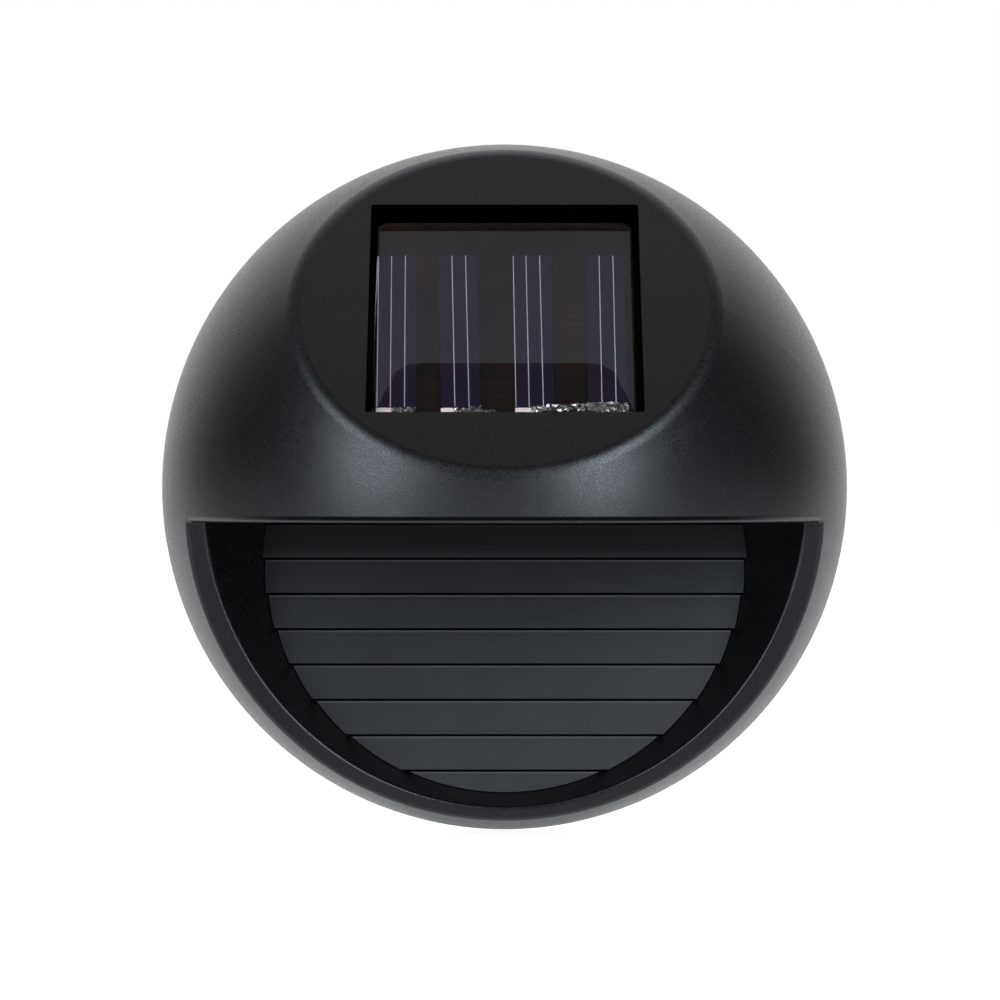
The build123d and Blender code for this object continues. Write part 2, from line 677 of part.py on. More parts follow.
def back_plate():
    plate = bar(0, 0, 0, PLATE_T, PLATE_R)
    plate += bay(BAY_WALL, PLATE_T / 2, BAY_DEPTH + BAY_WALL)
    plate += door_block(BAY_WALL, PLATE_T / 2, DOOR_SEAT + DOOR_LEDGE_T, DOOR_CORNER)
    plate += well(WELL_WALL, PLATE_T / 2, WELL_DEPTH + WELL_FLOOR)
    for x in (-KEYHOLE_X, KEYHOLE_X):
        plate += keyhole_pocket(x, POCKET_WALL, PLATE_T / 2, PLATE_T + KEYHOLE_POCKET + POCKET_WALL)
        plate -= keyhole(x)
    for x in (-DOOR_SCREW_X, DOOR_SCREW_X):
        plate += bar(x, BAY_Z, DOOR_SEAT, DOOR_BOSS_DEPTH, BOSS_R)
    plate -= bay(0, -CUT, BAY_DEPTH)
    plate -= door_block(0, -CUT, DOOR_SEAT, DOOR_CORNER)
    plate -= well(0, -CUT, WELL_DEPTH)
    plate -= switch_slot(WELL_DEPTH - CUT, SWITCH_SEAT + CUT)
    for x in switch_screw_places():
        plate -= bar(x, SWITCH_Z, WELL_DEPTH - CUT, SWITCH_SEAT + CUT, SMALL_SCREW_R + HEAD_PLAY)
    for x in (-DOOR_SCREW_X, DOOR_SCREW_X):
        plate -= bar(x, BAY_Z, DOOR_SEAT - CUT, DOOR_BOSS_DEPTH - HOLE_SHORT, SCREW_R + SCREW_PLAY)
    for side in (-1, 1):
        plate -= contact_tab(side, CELL_TOUCH)
    for x, z in boss_places():
        plate -= bar(x, z, -CUT, PLATE_T + CUT, SCREW_R + HEAD_PLAY)
        plate -= bar(x, z, -CUT, SCREW_HEAD_H + HEAD_SINK, SCREW_HEAD_R + HEAD_PLAY)
    return plate


def back_seal():
    ring = bar(0, 0, PLATE_T, SEAL_DEPTH, INNER_R - FIT) - bar(0, 0, 0, SEAL_DEPTH + CUT, LEDGE_R + FIT)
    for x, z in boss_places():
        ring -= bar(x, z, PLATE_T - CUT, SEAL_DEPTH + CUT, BOSS_R + FIT)
    return ring


def back_plate_screws():
    one = screw(SCREW_R, SCREW_HEAD_R, SCREW_HEAD_H, BOSS_DEPTH - SCREW_SHORT - SCREW_HEAD_H)
    return [from_behind(x, z, SCREW_HEAD_H + HEAD_SINK) * one for x, z in boss_places()]


# ---------------------------------------------------------------- battery and door
def battery_cell():
    can = Pos(CELL_END_X + CELL_CAN_L / 2, CELL_Y, BAY_Z) * Rot(0, 90, 0)
    body = can * Cylinder(CELL_CAN_R, CELL_CAN_L)
    return fillet(body.edges().filter_by(GeomType.CIRCLE), CELL_CAN_ROUND)


def battery_cap():
    middle = CELL_END_X + CELL_CAN_L + CELL_CAP_L / 2
    cap = Pos(middle, CELL_Y, BAY_Z) * Rot(0, 90, 0) * Cylinder(CELL_CAP_R, CELL_CAP_L)
    return fillet(cap.edges().filter_by(GeomType.CIRCLE).sort_by(Axis.X)[-1], CELL_CAP_ROUND)


def battery_contact(side):
    half = CONTACT_H / 2
    near = BAY_L / 2 - CONTACT_T
    plate = slab(side * near, side * BAY_L / 2, CELL_Y - half, CELL_Y + half, BAY_Z - half, BAY_Z + half)
    return plate + contact_tab(side, 0)


def battery_spring():
    """A cone of wire that presses on the cell's flat end."""
    start = -BAY_L / 2 + CONTACT_T + SPRING_WIRE_R
    rise = SPRING_L - 2 * SPRING_WIRE_R
    narrowing = math.degrees(math.atan((SPRING_R - SPRING_TIP_R) / rise))
    coil = Helix(rise / SPRING_TURNS, rise, SPRING_TIP_R, center=(start + rise, CELL_Y, BAY_Z),
                 direction=(-1, 0, 0), cone_angle=narrowing)
    return sweep(Plane(origin=coil @ 0, z_dir=coil % 0) * Circle(SPRING_WIRE_R), path=coil, is_frenet=True)


def battery_door():
    door = door_block(-DOOR_GAP, 0, DOOR_T, DOOR_CORNER - DOOR_GAP)
    for x in (-DOOR_SCREW_X, DOOR_SCREW_X):
        door -= bar(x, BAY_Z, -CUT, DOOR_T + CUT, SCREW_R + HEAD_PLAY)
        door -= bar(x, BAY_Z, -CUT, SCREW_HEAD_H + HEAD_SINK, SCREW_HEAD_R + HEAD_PLAY)
    return door


def battery_door_seal():
    return bay(FIT + DOOR_SEAL_W, DOOR_T, DOOR_SEAT) - bay(FIT, DOOR_T - CUT, DOOR_SEAT + CUT)


def battery_door_screws():
    one = screw(SCREW_R, SCREW_HEAD_R, SCREW_HEAD_H, DOOR_BOSS_DEPTH - SCREW_SHORT - SCREW_HEAD_H)
    places = (-DOOR_SCREW_X, DOOR_SCREW_X)
    return [from_behind(x, BAY_Z, SCREW_HEAD_H + HEAD_SINK) * one for x in places]


# ---------------------------------------------------------------- switch
def switch_screw_places():
    return (SWITCH_X - SWITCH_EAR_PITCH / 2, SWITCH_X + SWITCH_EAR_PITCH / 2)


def switch_block(w, h, depth0, depth1, x=SWITCH_X):
    return slab(x - w / 2, x + w / 2, -depth1, -depth0, SWITCH_Z - h / 2, SWITCH_Z + h / 2)


def switch_slot(depth0, depth1):
    """Room for the knob's travel."""
    return switch_block(KNOB_W + SWITCH_TRAVEL + 2 * KNOB_PLAY, KNOB_H + 2 * KNOB_PLAY, depth0, depth1)


def switch_frame():
    front = SWITCH_SEAT
    back = front + SWITCH_DEEP - SWITCH_SHEET
    frame = switch_block(SWITCH_L, SWITCH_W, front, back)
    frame += switch_block(SWITCH_EAR_L, SWITCH_W, front, front + SWITCH_SHEET)
    frame -= switch_block(SWITCH_L - 2 * SWITCH_SHEET, SWITCH_W - 2 * SWITCH_SHEET,
                          front + SWITCH_SHEET, back + CUT)
    frame -= switch_slot(front - CUT, front + SWITCH_SHEET + CUT)
    for x in switch_screw_places():
        frame -= bar(x, SWITCH_Z, front - CUT, front + SWITCH_SHEET + CUT, SMALL_SCREW_R + SCREW_PLAY)
    return frame


def switch_base():
    back = SWITCH_SEAT + SWITCH_DEEP - SWITCH_SHEET
    return switch_block(SWITCH_L - 2 * SWITCH_SHEET, SWITCH_W - 2 * SWITCH_SHEET, back - SWITCH_BASE_T,
                        back)


def switch_slider():
    """The knob and the foot that runs inside the frame, drawn at one end of the travel."""
    x = SWITCH_X - SWITCH_TRAVEL / 2
    foot = SWITCH_SEAT + SWITCH_SHEET + FOOT_PLAY
    knob = switch_block(KNOB_W, KNOB_H, WELL_DEPTH - KNOB_RISE, foot + FOOT_T, x)
    knob = fillet(knob.edges().group_by(Axis.Y)[-1], KNOB_ROUND)
    return knob + switch_block(FOOT_W, SWITCH_W - 2 * SWITCH_SHEET - 2 * FOOT_PLAY, foot, foot + FOOT_T, x)


def switch_pins():
    back = SWITCH_SEAT + SWITCH_DEEP - SWITCH_SHEET
    offsets = (-PIN_PITCH, 0, PIN_PITCH)
    return [switch_block(PIN_W, PIN_T, back, back + PIN_L, SWITCH_X + x) for x in offsets]


def switch_screws():
    one = screw(SMALL_SCREW_R, SMALL_HEAD_R, SMALL_HEAD_H, WELL_FLOOR + SWITCH_SHEET + SWITCH_SCREW_OUT)
    return [from_behind(x, SWITCH_Z, WELL_DEPTH) * one for x in switch_screw_places()]


# ---------------------------------------------------------------- leads
def solar_lead(shift):
    """From the back of the panel through the tray's slot down to the circuit board."""
    x = PANEL_LEAD_X + shift
    pad = BOARD_Z + BOARD_THICK
    start = facet_point(TAPE_TOP, x, PANEL_LEAD_UP)
    below_tray = facet_point(TRAY_BOTTOM - LEAD_DROP, x, PANEL_LEAD_UP)
    return wire([start, below_tray, (x, LED_Y - SOLAR_PAD_Y, pad)], -FACET_N, DOWN)


def battery_lead(side):
    """From a contact's tab, under the bay, to the circuit board."""
    pad = BOARD_Z + BOARD_THICK
    start_x = side * (BAY_L / 2 + CONTACT_TAB_L - WIRE_R)
    start_z = BAY_Z - CONTACT_H / 2
    pad_x = side * (BOARD_X / 2 - BATTERY_PAD_IN)
    pad_y = LED_Y + BOARD_Y / 2 - BATTERY_PAD_IN
    middle = ((start_x + pad_x) / 2, (CELL_Y + pad_y) / 2, (start_z + pad) / 2 - WIRE_R)
    return wire([(start_x, CELL_Y, start_z), middle, (pad_x, pad_y, pad)], DOWN, DOWN)


def switch_lead(shift, pad_in):
    """From a switch pin up to the underside of the circuit board."""
    x = SWITCH_X + shift
    y = -(SWITCH_SEAT + SWITCH_DEEP - SWITCH_SHEET + PIN_L)
    pad_x = -BOARD_X / 2 + pad_in
    pad_y = LED_Y + BOARD_Y / 2 - SWITCH_PAD_IN
    return wire([(x, y, SWITCH_Z), (pad_x, pad_y, BOARD_Z)], Vector(0, -1, 0), -DOWN)


# ---------------------------------------------------------------- write every piece
PIECES = {
    "dome_shell": dome_shell,
    "reflector_plate": reflector_plate,
    "reflector_screws": reflector_screws,
    "solar_tape": solar_tape,
    "solar_board": lambda: facet_block(TAPE_TOP, BOARD_TOP, PANEL_W, PANEL_H),
    "solar_cells": solar_cells,
    "solar_tabs": solar_tabs,
    "solar_cover": solar_cover,
    "led_window": led_window,
    "led": led,
    "led_legs": led_legs,
    "circuit_board": circuit_board,
    "circuit_board_screws": circuit_board_screws,
    "driver_chip": driver_chip,
    "inductor": inductor,
    "back_plate": back_plate,
    "back_seal": back_seal,
    "back_plate_screws": back_plate_screws,
    "battery_cell": battery_cell,
    "battery_cap": battery_cap,
    "battery_contact_plus": lambda: battery_contact(1),
    "battery_contact_minus": lambda: battery_contact(-1),
    "battery_spring": battery_spring,
    "battery_door": battery_door,
    "battery_door_seal": battery_door_seal,
    "battery_door_screws": battery_door_screws,
    "switch_frame": switch_frame,
    "switch_base": switch_base,
    "switch_slider": switch_slider,
    "switch_pins": switch_pins,
    "switch_screws": switch_screws,
    "solar_lead_red": lambda: solar_lead(LEAD_SHIFT),
    "solar_lead_black": lambda: solar_lead(-LEAD_SHIFT),
    "battery_lead_red": lambda: battery_lead(1),
    "battery_lead_black": lambda: battery_lead(-1),
    "switch_lead_red": lambda: switch_lead(-PIN_PITCH, SWITCH_PAD_RED),
    "switch_lead_black": lambda: switch_lead(0, SWITCH_PAD_BLACK),
}

for node, make in PIECES.items():
    piece = make()
    if isinstance(piece, list):
        solids = [solid for item in piece for solid in item.solids()]
        piece = Compound(children=solids)
    export_step(piece, f"parts/{node}.step")
    print(node, len(piece.solids()), round(piece.volume, 1), "valid" if piece.is_valid else "NOT VALID")
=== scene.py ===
"""Looks of a round solar fence light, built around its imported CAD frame.

Metres. The wall is the plane y = 0, the front looks along -Y and +Z is up.
"""

import logging
import math
from dataclasses import dataclass
from enum import Enum
from typing import Any, Callable, Sequence

import bmesh
import bpy
from mathutils import Matrix, Vector


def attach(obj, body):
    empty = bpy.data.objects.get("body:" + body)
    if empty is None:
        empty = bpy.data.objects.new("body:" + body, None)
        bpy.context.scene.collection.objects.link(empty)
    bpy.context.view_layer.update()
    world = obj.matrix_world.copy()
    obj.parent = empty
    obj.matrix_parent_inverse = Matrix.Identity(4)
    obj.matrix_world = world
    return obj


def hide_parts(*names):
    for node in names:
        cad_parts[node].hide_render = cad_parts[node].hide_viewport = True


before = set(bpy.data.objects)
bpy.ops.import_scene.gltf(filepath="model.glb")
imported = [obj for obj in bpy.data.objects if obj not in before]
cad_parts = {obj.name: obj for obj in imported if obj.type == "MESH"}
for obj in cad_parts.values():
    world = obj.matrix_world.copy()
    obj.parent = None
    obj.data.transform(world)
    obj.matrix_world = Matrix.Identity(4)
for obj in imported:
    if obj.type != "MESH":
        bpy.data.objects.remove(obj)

LOG = logging.getLogger("fence_light")
MM = 0.001
TOUCH = 0.01 * MM
Colour = tuple[float, float, float]


def srgb(red: int, green: int, blue: int) -> Colour:
    """Turns a display colour into the linear colour that a shader takes.

    Args:
        red: Red, 0 to 255.
        green: Green, 0 to 255.
        blue: Blue, 0 to 255.

    Returns:
        The linear colour.
    """
    shares = [value / 255 for value in (red, green, blue)]
    linear = [s / 12.92 if s <= 0.04045 else ((s + 0.055) / 1.055) ** 2.4 for s in shares]
    return (linear[0], linear[1], linear[2])


# ---------------------------------------------------------------- shader nodes
class Wiring:
    """Adds nodes to one shader tree and joins them."""

    def __init__(self, tree: bpy.types.NodeTree) -> None:
        """Works on a tree, which keeps the nodes that it has.

        Args:
            tree: The tree.
        """
        self.tree = tree

    def add(self, kind: str, values: dict[str, Any] | None = None,
            **options: Any) -> bpy.types.Node:
        """Adds a node.

        Args:
            kind: The node's type, without its ShaderNode prefix where it has one.
            values: Values of its input sockets, by name.
            options: Settings of the node itself.

        Returns:
            The new node.
        """
        prefix = "" if kind.startswith("NodeGroup") else "ShaderNode"
        node = self.tree.nodes.new(prefix + kind)
        for key, value in options.items():
            setattr(node, key, value)
        for key, value in (values or {}).items():
            node.inputs[key].default_value = value
        return node

    def join(self, source: bpy.types.NodeSocket, target: bpy.types.NodeSocket) -> None:
        """Joins an output to an input.

        Args:
            source: The output.
            target: The input.
        """
        self.tree.links.new(source, target)

    def maths(self, operation: str, first: Any, second: Any = 0.0) -> bpy.types.NodeSocket:
        """Adds a Math node.

        Args:
            operation: The node's operation.
            first: A socket or a number.
            second: A socket or a number, left out where the operation takes one value.

        Returns:
            The node's result.
        """
        node = self.add("Math", operation=operation)
        for place, item in enumerate((first, second)):
            if isinstance(item, (int, float)):
                node.inputs[place].default_value = item
            else:
                self.join(item, node.inputs[place])
        return node.outputs["Value"]

    def ramp(self, source: bpy.types.NodeSocket, low: float, high: float,
             to_low: float = 0.0, to_high: float = 1.0) -> bpy.types.NodeSocket:
        """Maps a value from one range to another, clamped and eased.

        Args:
            source: The value.
            low: Start of its range.
            high: End of its range.
            to_low: What the start becomes.
            to_high: What the end becomes.

        Returns:
            The mapped value.
        """
        node = self.add("MapRange", {"From Min": low, "From Max": high, "To Min": to_low,
                                     "To Max": to_high}, interpolation_type="SMOOTHSTEP")
        self.join(source, node.inputs["Value"])
        return node.outputs["Result"]

    def blend(self, mask: bpy.types.NodeSocket, first: Any, second: Any) -> bpy.types.NodeSocket:
        """Mixes two colours by a mask.

        Args:
            mask: 0 gives the first colour and 1 the second.
            first: A colour or a socket.
            second: A colour or a socket.

        Returns:
            The mixed colour.
        """
        node = self.add("Mix", data_type="RGBA")
        sockets = [s for s in node.inputs if s.type == "RGBA"]
        for socket, item in zip(sockets, (first, second)):
            if isinstance(item, tuple):
                socket.default_value = (*item, 1.0)
            else:
                self.join(item, socket)
        self.join(mask, node.inputs["Factor"])
        return next(s for s in node.outputs if s.type == "RGBA")


class Effect(Enum):
    """Shared effects, each one a node group with named inputs and outputs."""

    GRAIN = "mould_grain"
    MOTTLE = "slow_mottle"
    STREAKS = "drawn_streaks"


PIT_SPAN = (0.05, 0.75)     # noise that makes a pit, a lump, a speck, a patch and a streak
LUMP_SPAN = (0.25, 0.75)
SPECK_SPAN = (0.52, 0.78)
PATCH_SPAN = (0.3, 0.7)
STREAK_SPAN = (0.35, 0.65)
PIT_SHARE = 0.45            # of the grain's relief; lumps make the rest


def open_group(effect: Effect,
               inputs: dict[str, float]) -> tuple[Wiring, bpy.types.Node, bpy.types.Node]:
    """Starts a node group that takes a vector and some numbers.

    Args:
        effect: The effect it is for.
        inputs: Its number inputs and their values to begin with.

    Returns:
        The wiring, the group's input node and its output node.
    """
    tree = bpy.data.node_groups.new(effect.value, "ShaderNodeTree")
    tree.interface.new_socket("Vector", in_out="INPUT", socket_type="NodeSocketVector")
    for name, value in inputs.items():
        socket = tree.interface.new_socket(name, in_out="INPUT", socket_type="NodeSocketFloat")
        socket.default_value = value
    for name in ("Height", "Mask"):
        tree.interface.new_socket(name, in_out="OUTPUT", socket_type="NodeSocketFloat")
    wiring = Wiring(tree)
    return wiring, wiring.add("NodeGroupInput"), wiring.add("NodeGroupOutput")


def make_grain() -> bpy.types.NodeTree:
    """Makes the pitted skin of a spark-eroded mould.

    Returns:
        The group. Height is the skin's relief and Mask its sparse bright specks.
    """
    wiring, given, result = open_group(Effect.GRAIN, {"Per Metre": 3000.0, "Specks": 0.5})
    vector, scale = given.outputs["Vector"], given.outputs["Per Metre"]
    coarse = wiring.add("TexNoise", {"Detail": 3.0, "Roughness": 0.62})
    fine = wiring.add("TexVoronoi", feature="SMOOTH_F1")
    for node in (coarse, fine):
        wiring.join(vector, node.inputs["Vector"])
        wiring.join(scale, node.inputs["Scale"])
    pits = wiring.ramp(fine.outputs["Distance"], *PIT_SPAN)
    lumps = wiring.ramp(coarse.outputs["Fac"], *LUMP_SPAN)
    height = wiring.maths("ADD", wiring.maths("MULTIPLY", pits, PIT_SHARE),
                          wiring.maths("MULTIPLY", lumps, 1 - PIT_SHARE))
    wiring.join(height, result.inputs["Height"])
    high = wiring.ramp(coarse.outputs["Fac"], *SPECK_SPAN)
    wiring.join(wiring.maths("MULTIPLY", high, given.outputs["Specks"]), result.inputs["Mask"])
    return wiring.tree


def make_mottle() -> bpy.types.NodeTree:
    """Makes slow patches, as flow and cooling leave them in a moulding.

    Returns:
        The group. Height is a very shallow sink and Mask the patches.
    """
    wiring, given, result = open_group(Effect.MOTTLE, {"Per Metre": 60.0, "Contrast": 1.0})
    noise = wiring.add("TexNoise", {"Detail": 4.0, "Roughness": 0.55, "Distortion": 0.4})
    wiring.join(given.outputs["Vector"], noise.inputs["Vector"])
    wiring.join(given.outputs["Per Metre"], noise.inputs["Scale"])
    mask = wiring.ramp(noise.outputs["Fac"], *PATCH_SPAN)
    wiring.join(noise.outputs["Fac"], result.inputs["Height"])
    wiring.join(wiring.maths("MULTIPLY", mask, given.outputs["Contrast"]), result.inputs["Mask"])
    return wiring.tree


def make_streaks() -> bpy.types.NodeTree:
    """Makes long thin streaks along X, as on drawn or rolled stock.

    Returns:
        The group. Height and Mask are the streaks.
    """
    wiring, given, result = open_group(Effect.STREAKS, {"Per Metre": 2500.0, "Length": 0.04})
    stretch = wiring.add("CombineXYZ", {"Y": 1.0, "Z": 1.0})
    wiring.join(given.outputs["Length"], stretch.inputs["X"])
    scaled = wiring.add("VectorMath", operation="MULTIPLY")
    wiring.join(given.outputs["Vector"], scaled.inputs[0])
    wiring.join(stretch.outputs["Vector"], scaled.inputs[1])
    noise = wiring.add("TexNoise", {"Detail": 3.0, "Roughness": 0.6})
    wiring.join(scaled.outputs["Vector"], noise.inputs["Vector"])
    wiring.join(given.outputs["Per Metre"], noise.inputs["Scale"])
    mask = wiring.ramp(noise.outputs["Fac"], *STREAK_SPAN)
    wiring.join(mask, result.inputs["Height"])
    wiring.join(mask, result.inputs["Mask"])
    return wiring.tree


MAKERS: dict[Effect, Callable[[], bpy.types.NodeTree]] = {
    Effect.GRAIN: make_grain,
    Effect.MOTTLE: make_mottle,
    Effect.STREAKS: make_streaks,
}


class Surface:
    """A new material with its Principled shader and its object coordinates at hand."""

    built: dict[Effect, bpy.types.NodeTree] = {}

    def __init__(self, name: str) -> None:
        """Starts the material.

        Args:
            name: The material's name.
        """
        self.material = bpy.data.materials.new(name)
        self.material.use_nodes = True
        self.wiring = Wiring(self.material.node_tree)
        nodes = self.material.node_tree.nodes
        self.shader = nodes["Principled BSDF"]
        self.output = nodes["Material Output"]
        self.place = self.wiring.add("TexCoord").outputs["Object"]

    def effect(self, effect: Effect, per_m: float,
               **values: float) -> bpy.types.bpy_prop_collection:
        """Places a shared effect, which is built when it is first asked for.

        Args:
            effect: Which effect.
            per_m: Its features in a metre.
            values: Its other input.

        Returns:
            Its outputs, Height and Mask.
        """
        if effect not in Surface.built:
            Surface.built[effect] = MAKERS[effect]()
        node = self.wiring.add("Group", {"Per Metre": per_m, **values},
                               node_tree=Surface.built[effect])
        self.wiring.join(self.place, node.inputs["Vector"])
        return node.outputs

    def axes(self) -> bpy.types.bpy_prop_collection:
        """Splits the object coordinates.

        Returns:
            The outputs X, Y and Z.
        """
        split = self.wiring.add("SeparateXYZ")
        self.wiring.join(self.place, split.inputs["Vector"])
        return split.outputs

    def along(self, direction: Sequence[float]) -> bpy.types.NodeSocket:
        """Measures how far out a point lies in a direction.

        Args:
            direction: The direction, of length 1.

        Returns:
            The distance from the origin, in metres.
        """
        dot = self.wiring.add("VectorMath", operation="DOT_PRODUCT")
        dot.inputs[1].default_value = direction
        self.wiring.join(self.place, dot.inputs[0])
        return dot.outputs["Value"]

    def set(self, name: str, value: Any) -> None:
        """Sets one of the shader's own sockets.

        Args:
            name: The socket's name.
            value: A number, a colour or a socket that is joined to it.
        """
        if isinstance(value, bpy.types.NodeSocket):
            self.wiring.join(value, self.shader.inputs[name])
        elif isinstance(value, tuple):
            self.shader.inputs[name].default_value = (*value, 1.0)
        else:
            self.shader.inputs[name].default_value = value

    def rough(self, mask: bpy.types.NodeSocket, start: float, end: float) -> None:
        """Makes the roughness follow a mask.

        Args:
            mask: The mask, 0 to 1.
            start: Roughness where it is 0.
            end: Roughness where it is 1.
        """
        self.set("Roughness", self.wiring.ramp(mask, 0.0, 1.0, start, end))

    def bump(self, height: bpy.types.NodeSocket, depth: float) -> None:
        """Roughens the surface.

        Args:
            height: The relief, 0 to 1.
            depth: What 1 stands for, in millimetres.
        """
        node = self.wiring.add("Bump", {"Strength": 1.0, "Distance": depth * MM})
        self.wiring.join(height, node.inputs["Height"])
        self.wiring.join(node.outputs["Normal"], self.shader.inputs["Normal"])


# ---------------------------------------------------------------- finishes
@dataclass(frozen=True)
class Pocket:
    """Painted shade over the inside of the window, below the facet: dark, with its reflection taken
    away.
    """

    tilt: float
    half: float
    face: float
    # colour and reflection loss of the painted shade
    colour: Colour = srgb(3, 3, 4)
    depth: float = 0.94

    def shade(self, skin: Surface) -> bpy.types.NodeSocket:
        """Finds what lies inside the window.

        Args:
            skin: The material that is being made.

        Returns:
            1 inside the window and 0 elsewhere.
        """
        tilt = math.radians(self.tilt)
        wiring = skin.wiring
        out = skin.along((0.0, -math.cos(tilt), math.sin(tilt)))
        upwards = wiring.maths("ABSOLUTE", skin.along((0.0, math.sin(tilt), math.cos(tilt))))
        across = wiring.maths("ABSOLUTE", skin.axes()["X"])
        furthest = wiring.maths("MAXIMUM", across, upwards)
        beside = wiring.maths("LESS_THAN", furthest, self.half * MM)
        below = wiring.maths("LESS_THAN", out, self.face * MM)
        return wiring.maths("MULTIPLY", beside, below)


@dataclass(frozen=True)
class Line:
    """A painted dark line of shade, which fades towards the casing's sides: along the hood's edge,
    and over the first band under the hood.
    """

    middle: float
    half: float
    reach: tuple[float, float]
    # colour and reflection loss of the painted shade
    colour: Colour = srgb(8, 8, 8)
    depth: float = 0.9
    core: float = 0.4

    def shade(self, skin: Surface) -> bpy.types.NodeSocket:
        """Finds the line.

        Args:
            skin: The material that is being made.

        Returns:
            1 along its middle and 0 away from it.
        """
        wiring, axes = skin.wiring, skin.axes()
        away = wiring.maths("ABSOLUTE", wiring.maths("SUBTRACT", axes["Z"], self.middle * MM))
        across = wiring.maths("ABSOLUTE", axes["X"])
        core = wiring.ramp(away, self.half * self.core * MM, self.half * MM, 1.0, 0.0)
        fade = wiring.ramp(across, self.reach[0] * MM, self.reach[1] * MM, 1.0, 0.0)
        return wiring.maths("MULTIPLY", core, fade)


@dataclass(frozen=True)
class Flat:
    """A flat face painted darker and duller, as painted shade: all that lies beyond a plane."""

    tilt: float
    dist: float
    top: float = -6.2
    # colour and reflection loss of the painted shade
    colour: Colour = srgb(17, 16, 17)
    depth: float = 0.36
    fade: tuple[float, float] = (0.08, 0.02)

    def shade(self, skin: Surface) -> bpy.types.NodeSocket:
        """Finds the face.

        Args:
            skin: The material that is being made.

        Returns:
            1 on the face and 0 behind it.
        """
        lean = math.radians(self.tilt)
        out = skin.along((0.0, -math.cos(lean), -math.sin(lean)))
        start, full = ((self.dist - inward) * MM for inward in self.fade)
        beyond = skin.wiring.ramp(out, start, full)
        under = skin.wiring.maths("LESS_THAN", skin.axes()["Z"], self.top * MM)
        return skin.wiring.maths("MULTIPLY", beyond, under)


@dataclass(frozen=True)
class Grooves:
    """Painted shadow in the gap under each lapped band, and a painted highlight on the band's upper
    edge below it.
    """

    start: float
    pitch: float
    gap: tuple[float, float] = (-0.01, 0.45)
    edge: tuple[float, float] = (0.45, 0.75)
    # painted shadow colour in the gaps, then painted highlight colour on the edges below them
    colour: Colour = srgb(3, 3, 4)
    painted_highlight: Colour = srgb(62, 66, 70)
    depth: float = 0.95
    covered: float = 1.0

    def mask(self, skin: Surface, low: float, high: float) -> bpy.types.NodeSocket:
        """Finds what lies between two heights below a band's lower edge.

        Args:
            skin: The material that is being made.
            low: Nearer height below the edge, in millimetres.
            high: Further height below the edge, in millimetres.

        Returns:
            1 between the heights and 0 elsewhere.
        """
        wiring = skin.wiring
        down = wiring.maths("SUBTRACT", (self.start - low) * MM, skin.axes()["Z"])
        band = wiring.maths("FRACT", wiring.maths("DIVIDE", down, self.pitch * MM))
        return wiring.maths("LESS_THAN", band, (high - low) / self.pitch)

    def shade(self, skin: Surface) -> bpy.types.NodeSocket:
        """Finds the dark gaps, where shadow is painted.

        Args:
            skin: The material that is being made.

        Returns:
            1 in the gaps and 0 elsewhere.
        """
        return self.mask(skin, *self.gap)

    def painted_highlight_mask(self, skin: Surface) -> bpy.types.NodeSocket:
        """Finds the painted highlights on the upper edges of all bands but the one that the hood
        covers.

        Args:
            skin: The material that is being made.

        Returns:
            1 on the edges and 0 elsewhere.
        """
        below = skin.wiring.maths("LESS_THAN", skin.axes()["Z"], (self.start - self.covered) * MM)
        return skin.wiring.maths("MULTIPLY", self.mask(skin, *self.edge), below)


@dataclass(frozen=True)
class MouldedPlastic:
    """Black plastic with the pitted skin of its mould."""

    name: str
    dark: Colour = srgb(10, 10, 11)
    light: Colour = srgb(20, 20, 22)
    rough: float = 0.33
    rough_spread: float = 0.24
    grain_per_m: float = 5200.0
    grain_depth: float = 0.013
    specks: float = 0.6
    patches_per_m: float = 55.0
    patches: float = 0.6
    shine: float = 0.62
    # Cool tint on the reflections, painted: it stands in for part of the lamps' cool light.
    cool_reflection_tint: Colour = (0.90, 0.95, 1.0)
    # Painted light: the grooves paint shadow in the bands' gaps and a highlight on their edges, and
    # the marks below paint shade.
    grooves: Grooves | None = None
    painted_shades: tuple[Pocket | Line | Flat, ...] = ()

    def build(self) -> bpy.types.Material:
        """Builds the material.

        Returns:
            The material.
        """
        skin = Surface(self.name)
        grain = skin.effect(Effect.GRAIN, self.grain_per_m, Specks=self.specks)
        mottle = skin.effect(Effect.MOTTLE, self.patches_per_m, Contrast=self.patches)
        mask = skin.wiring.maths("MAXIMUM", grain["Mask"], mottle["Mask"])
        colour = skin.wiring.blend(mask, self.dark, self.light)
        # Painted highlight on the bands' upper edges.
        if self.grooves:
            colour = skin.wiring.blend(self.grooves.painted_highlight_mask(skin), colour, self.grooves.painted_highlight)
        # Painted shade: each mark blends in its dark colour and sets Metallic over that dark base,
        # which takes the reflection away there.
        dull: Any = 0.0
        for shade_mark in (*self.painted_shades, *([self.grooves] if self.grooves else [])):
            inside = shade_mark.shade(skin)
            colour = skin.wiring.blend(inside, colour, shade_mark.colour)
            shade_dulling = skin.wiring.maths("MULTIPLY", inside, shade_mark.depth)
            dull = skin.wiring.maths("MAXIMUM", shade_dulling, dull)
        skin.set("Base Color", colour)
        skin.set("Metallic", dull)
        skin.set("Specular IOR Level", self.shine)
        skin.set("Specular Tint", self.cool_reflection_tint)
        spread = self.rough_spread / 2
        skin.rough(grain["Height"], self.rough + spread, self.rough - spread)
        skin.bump(grain["Height"], self.grain_depth)
        return skin.material


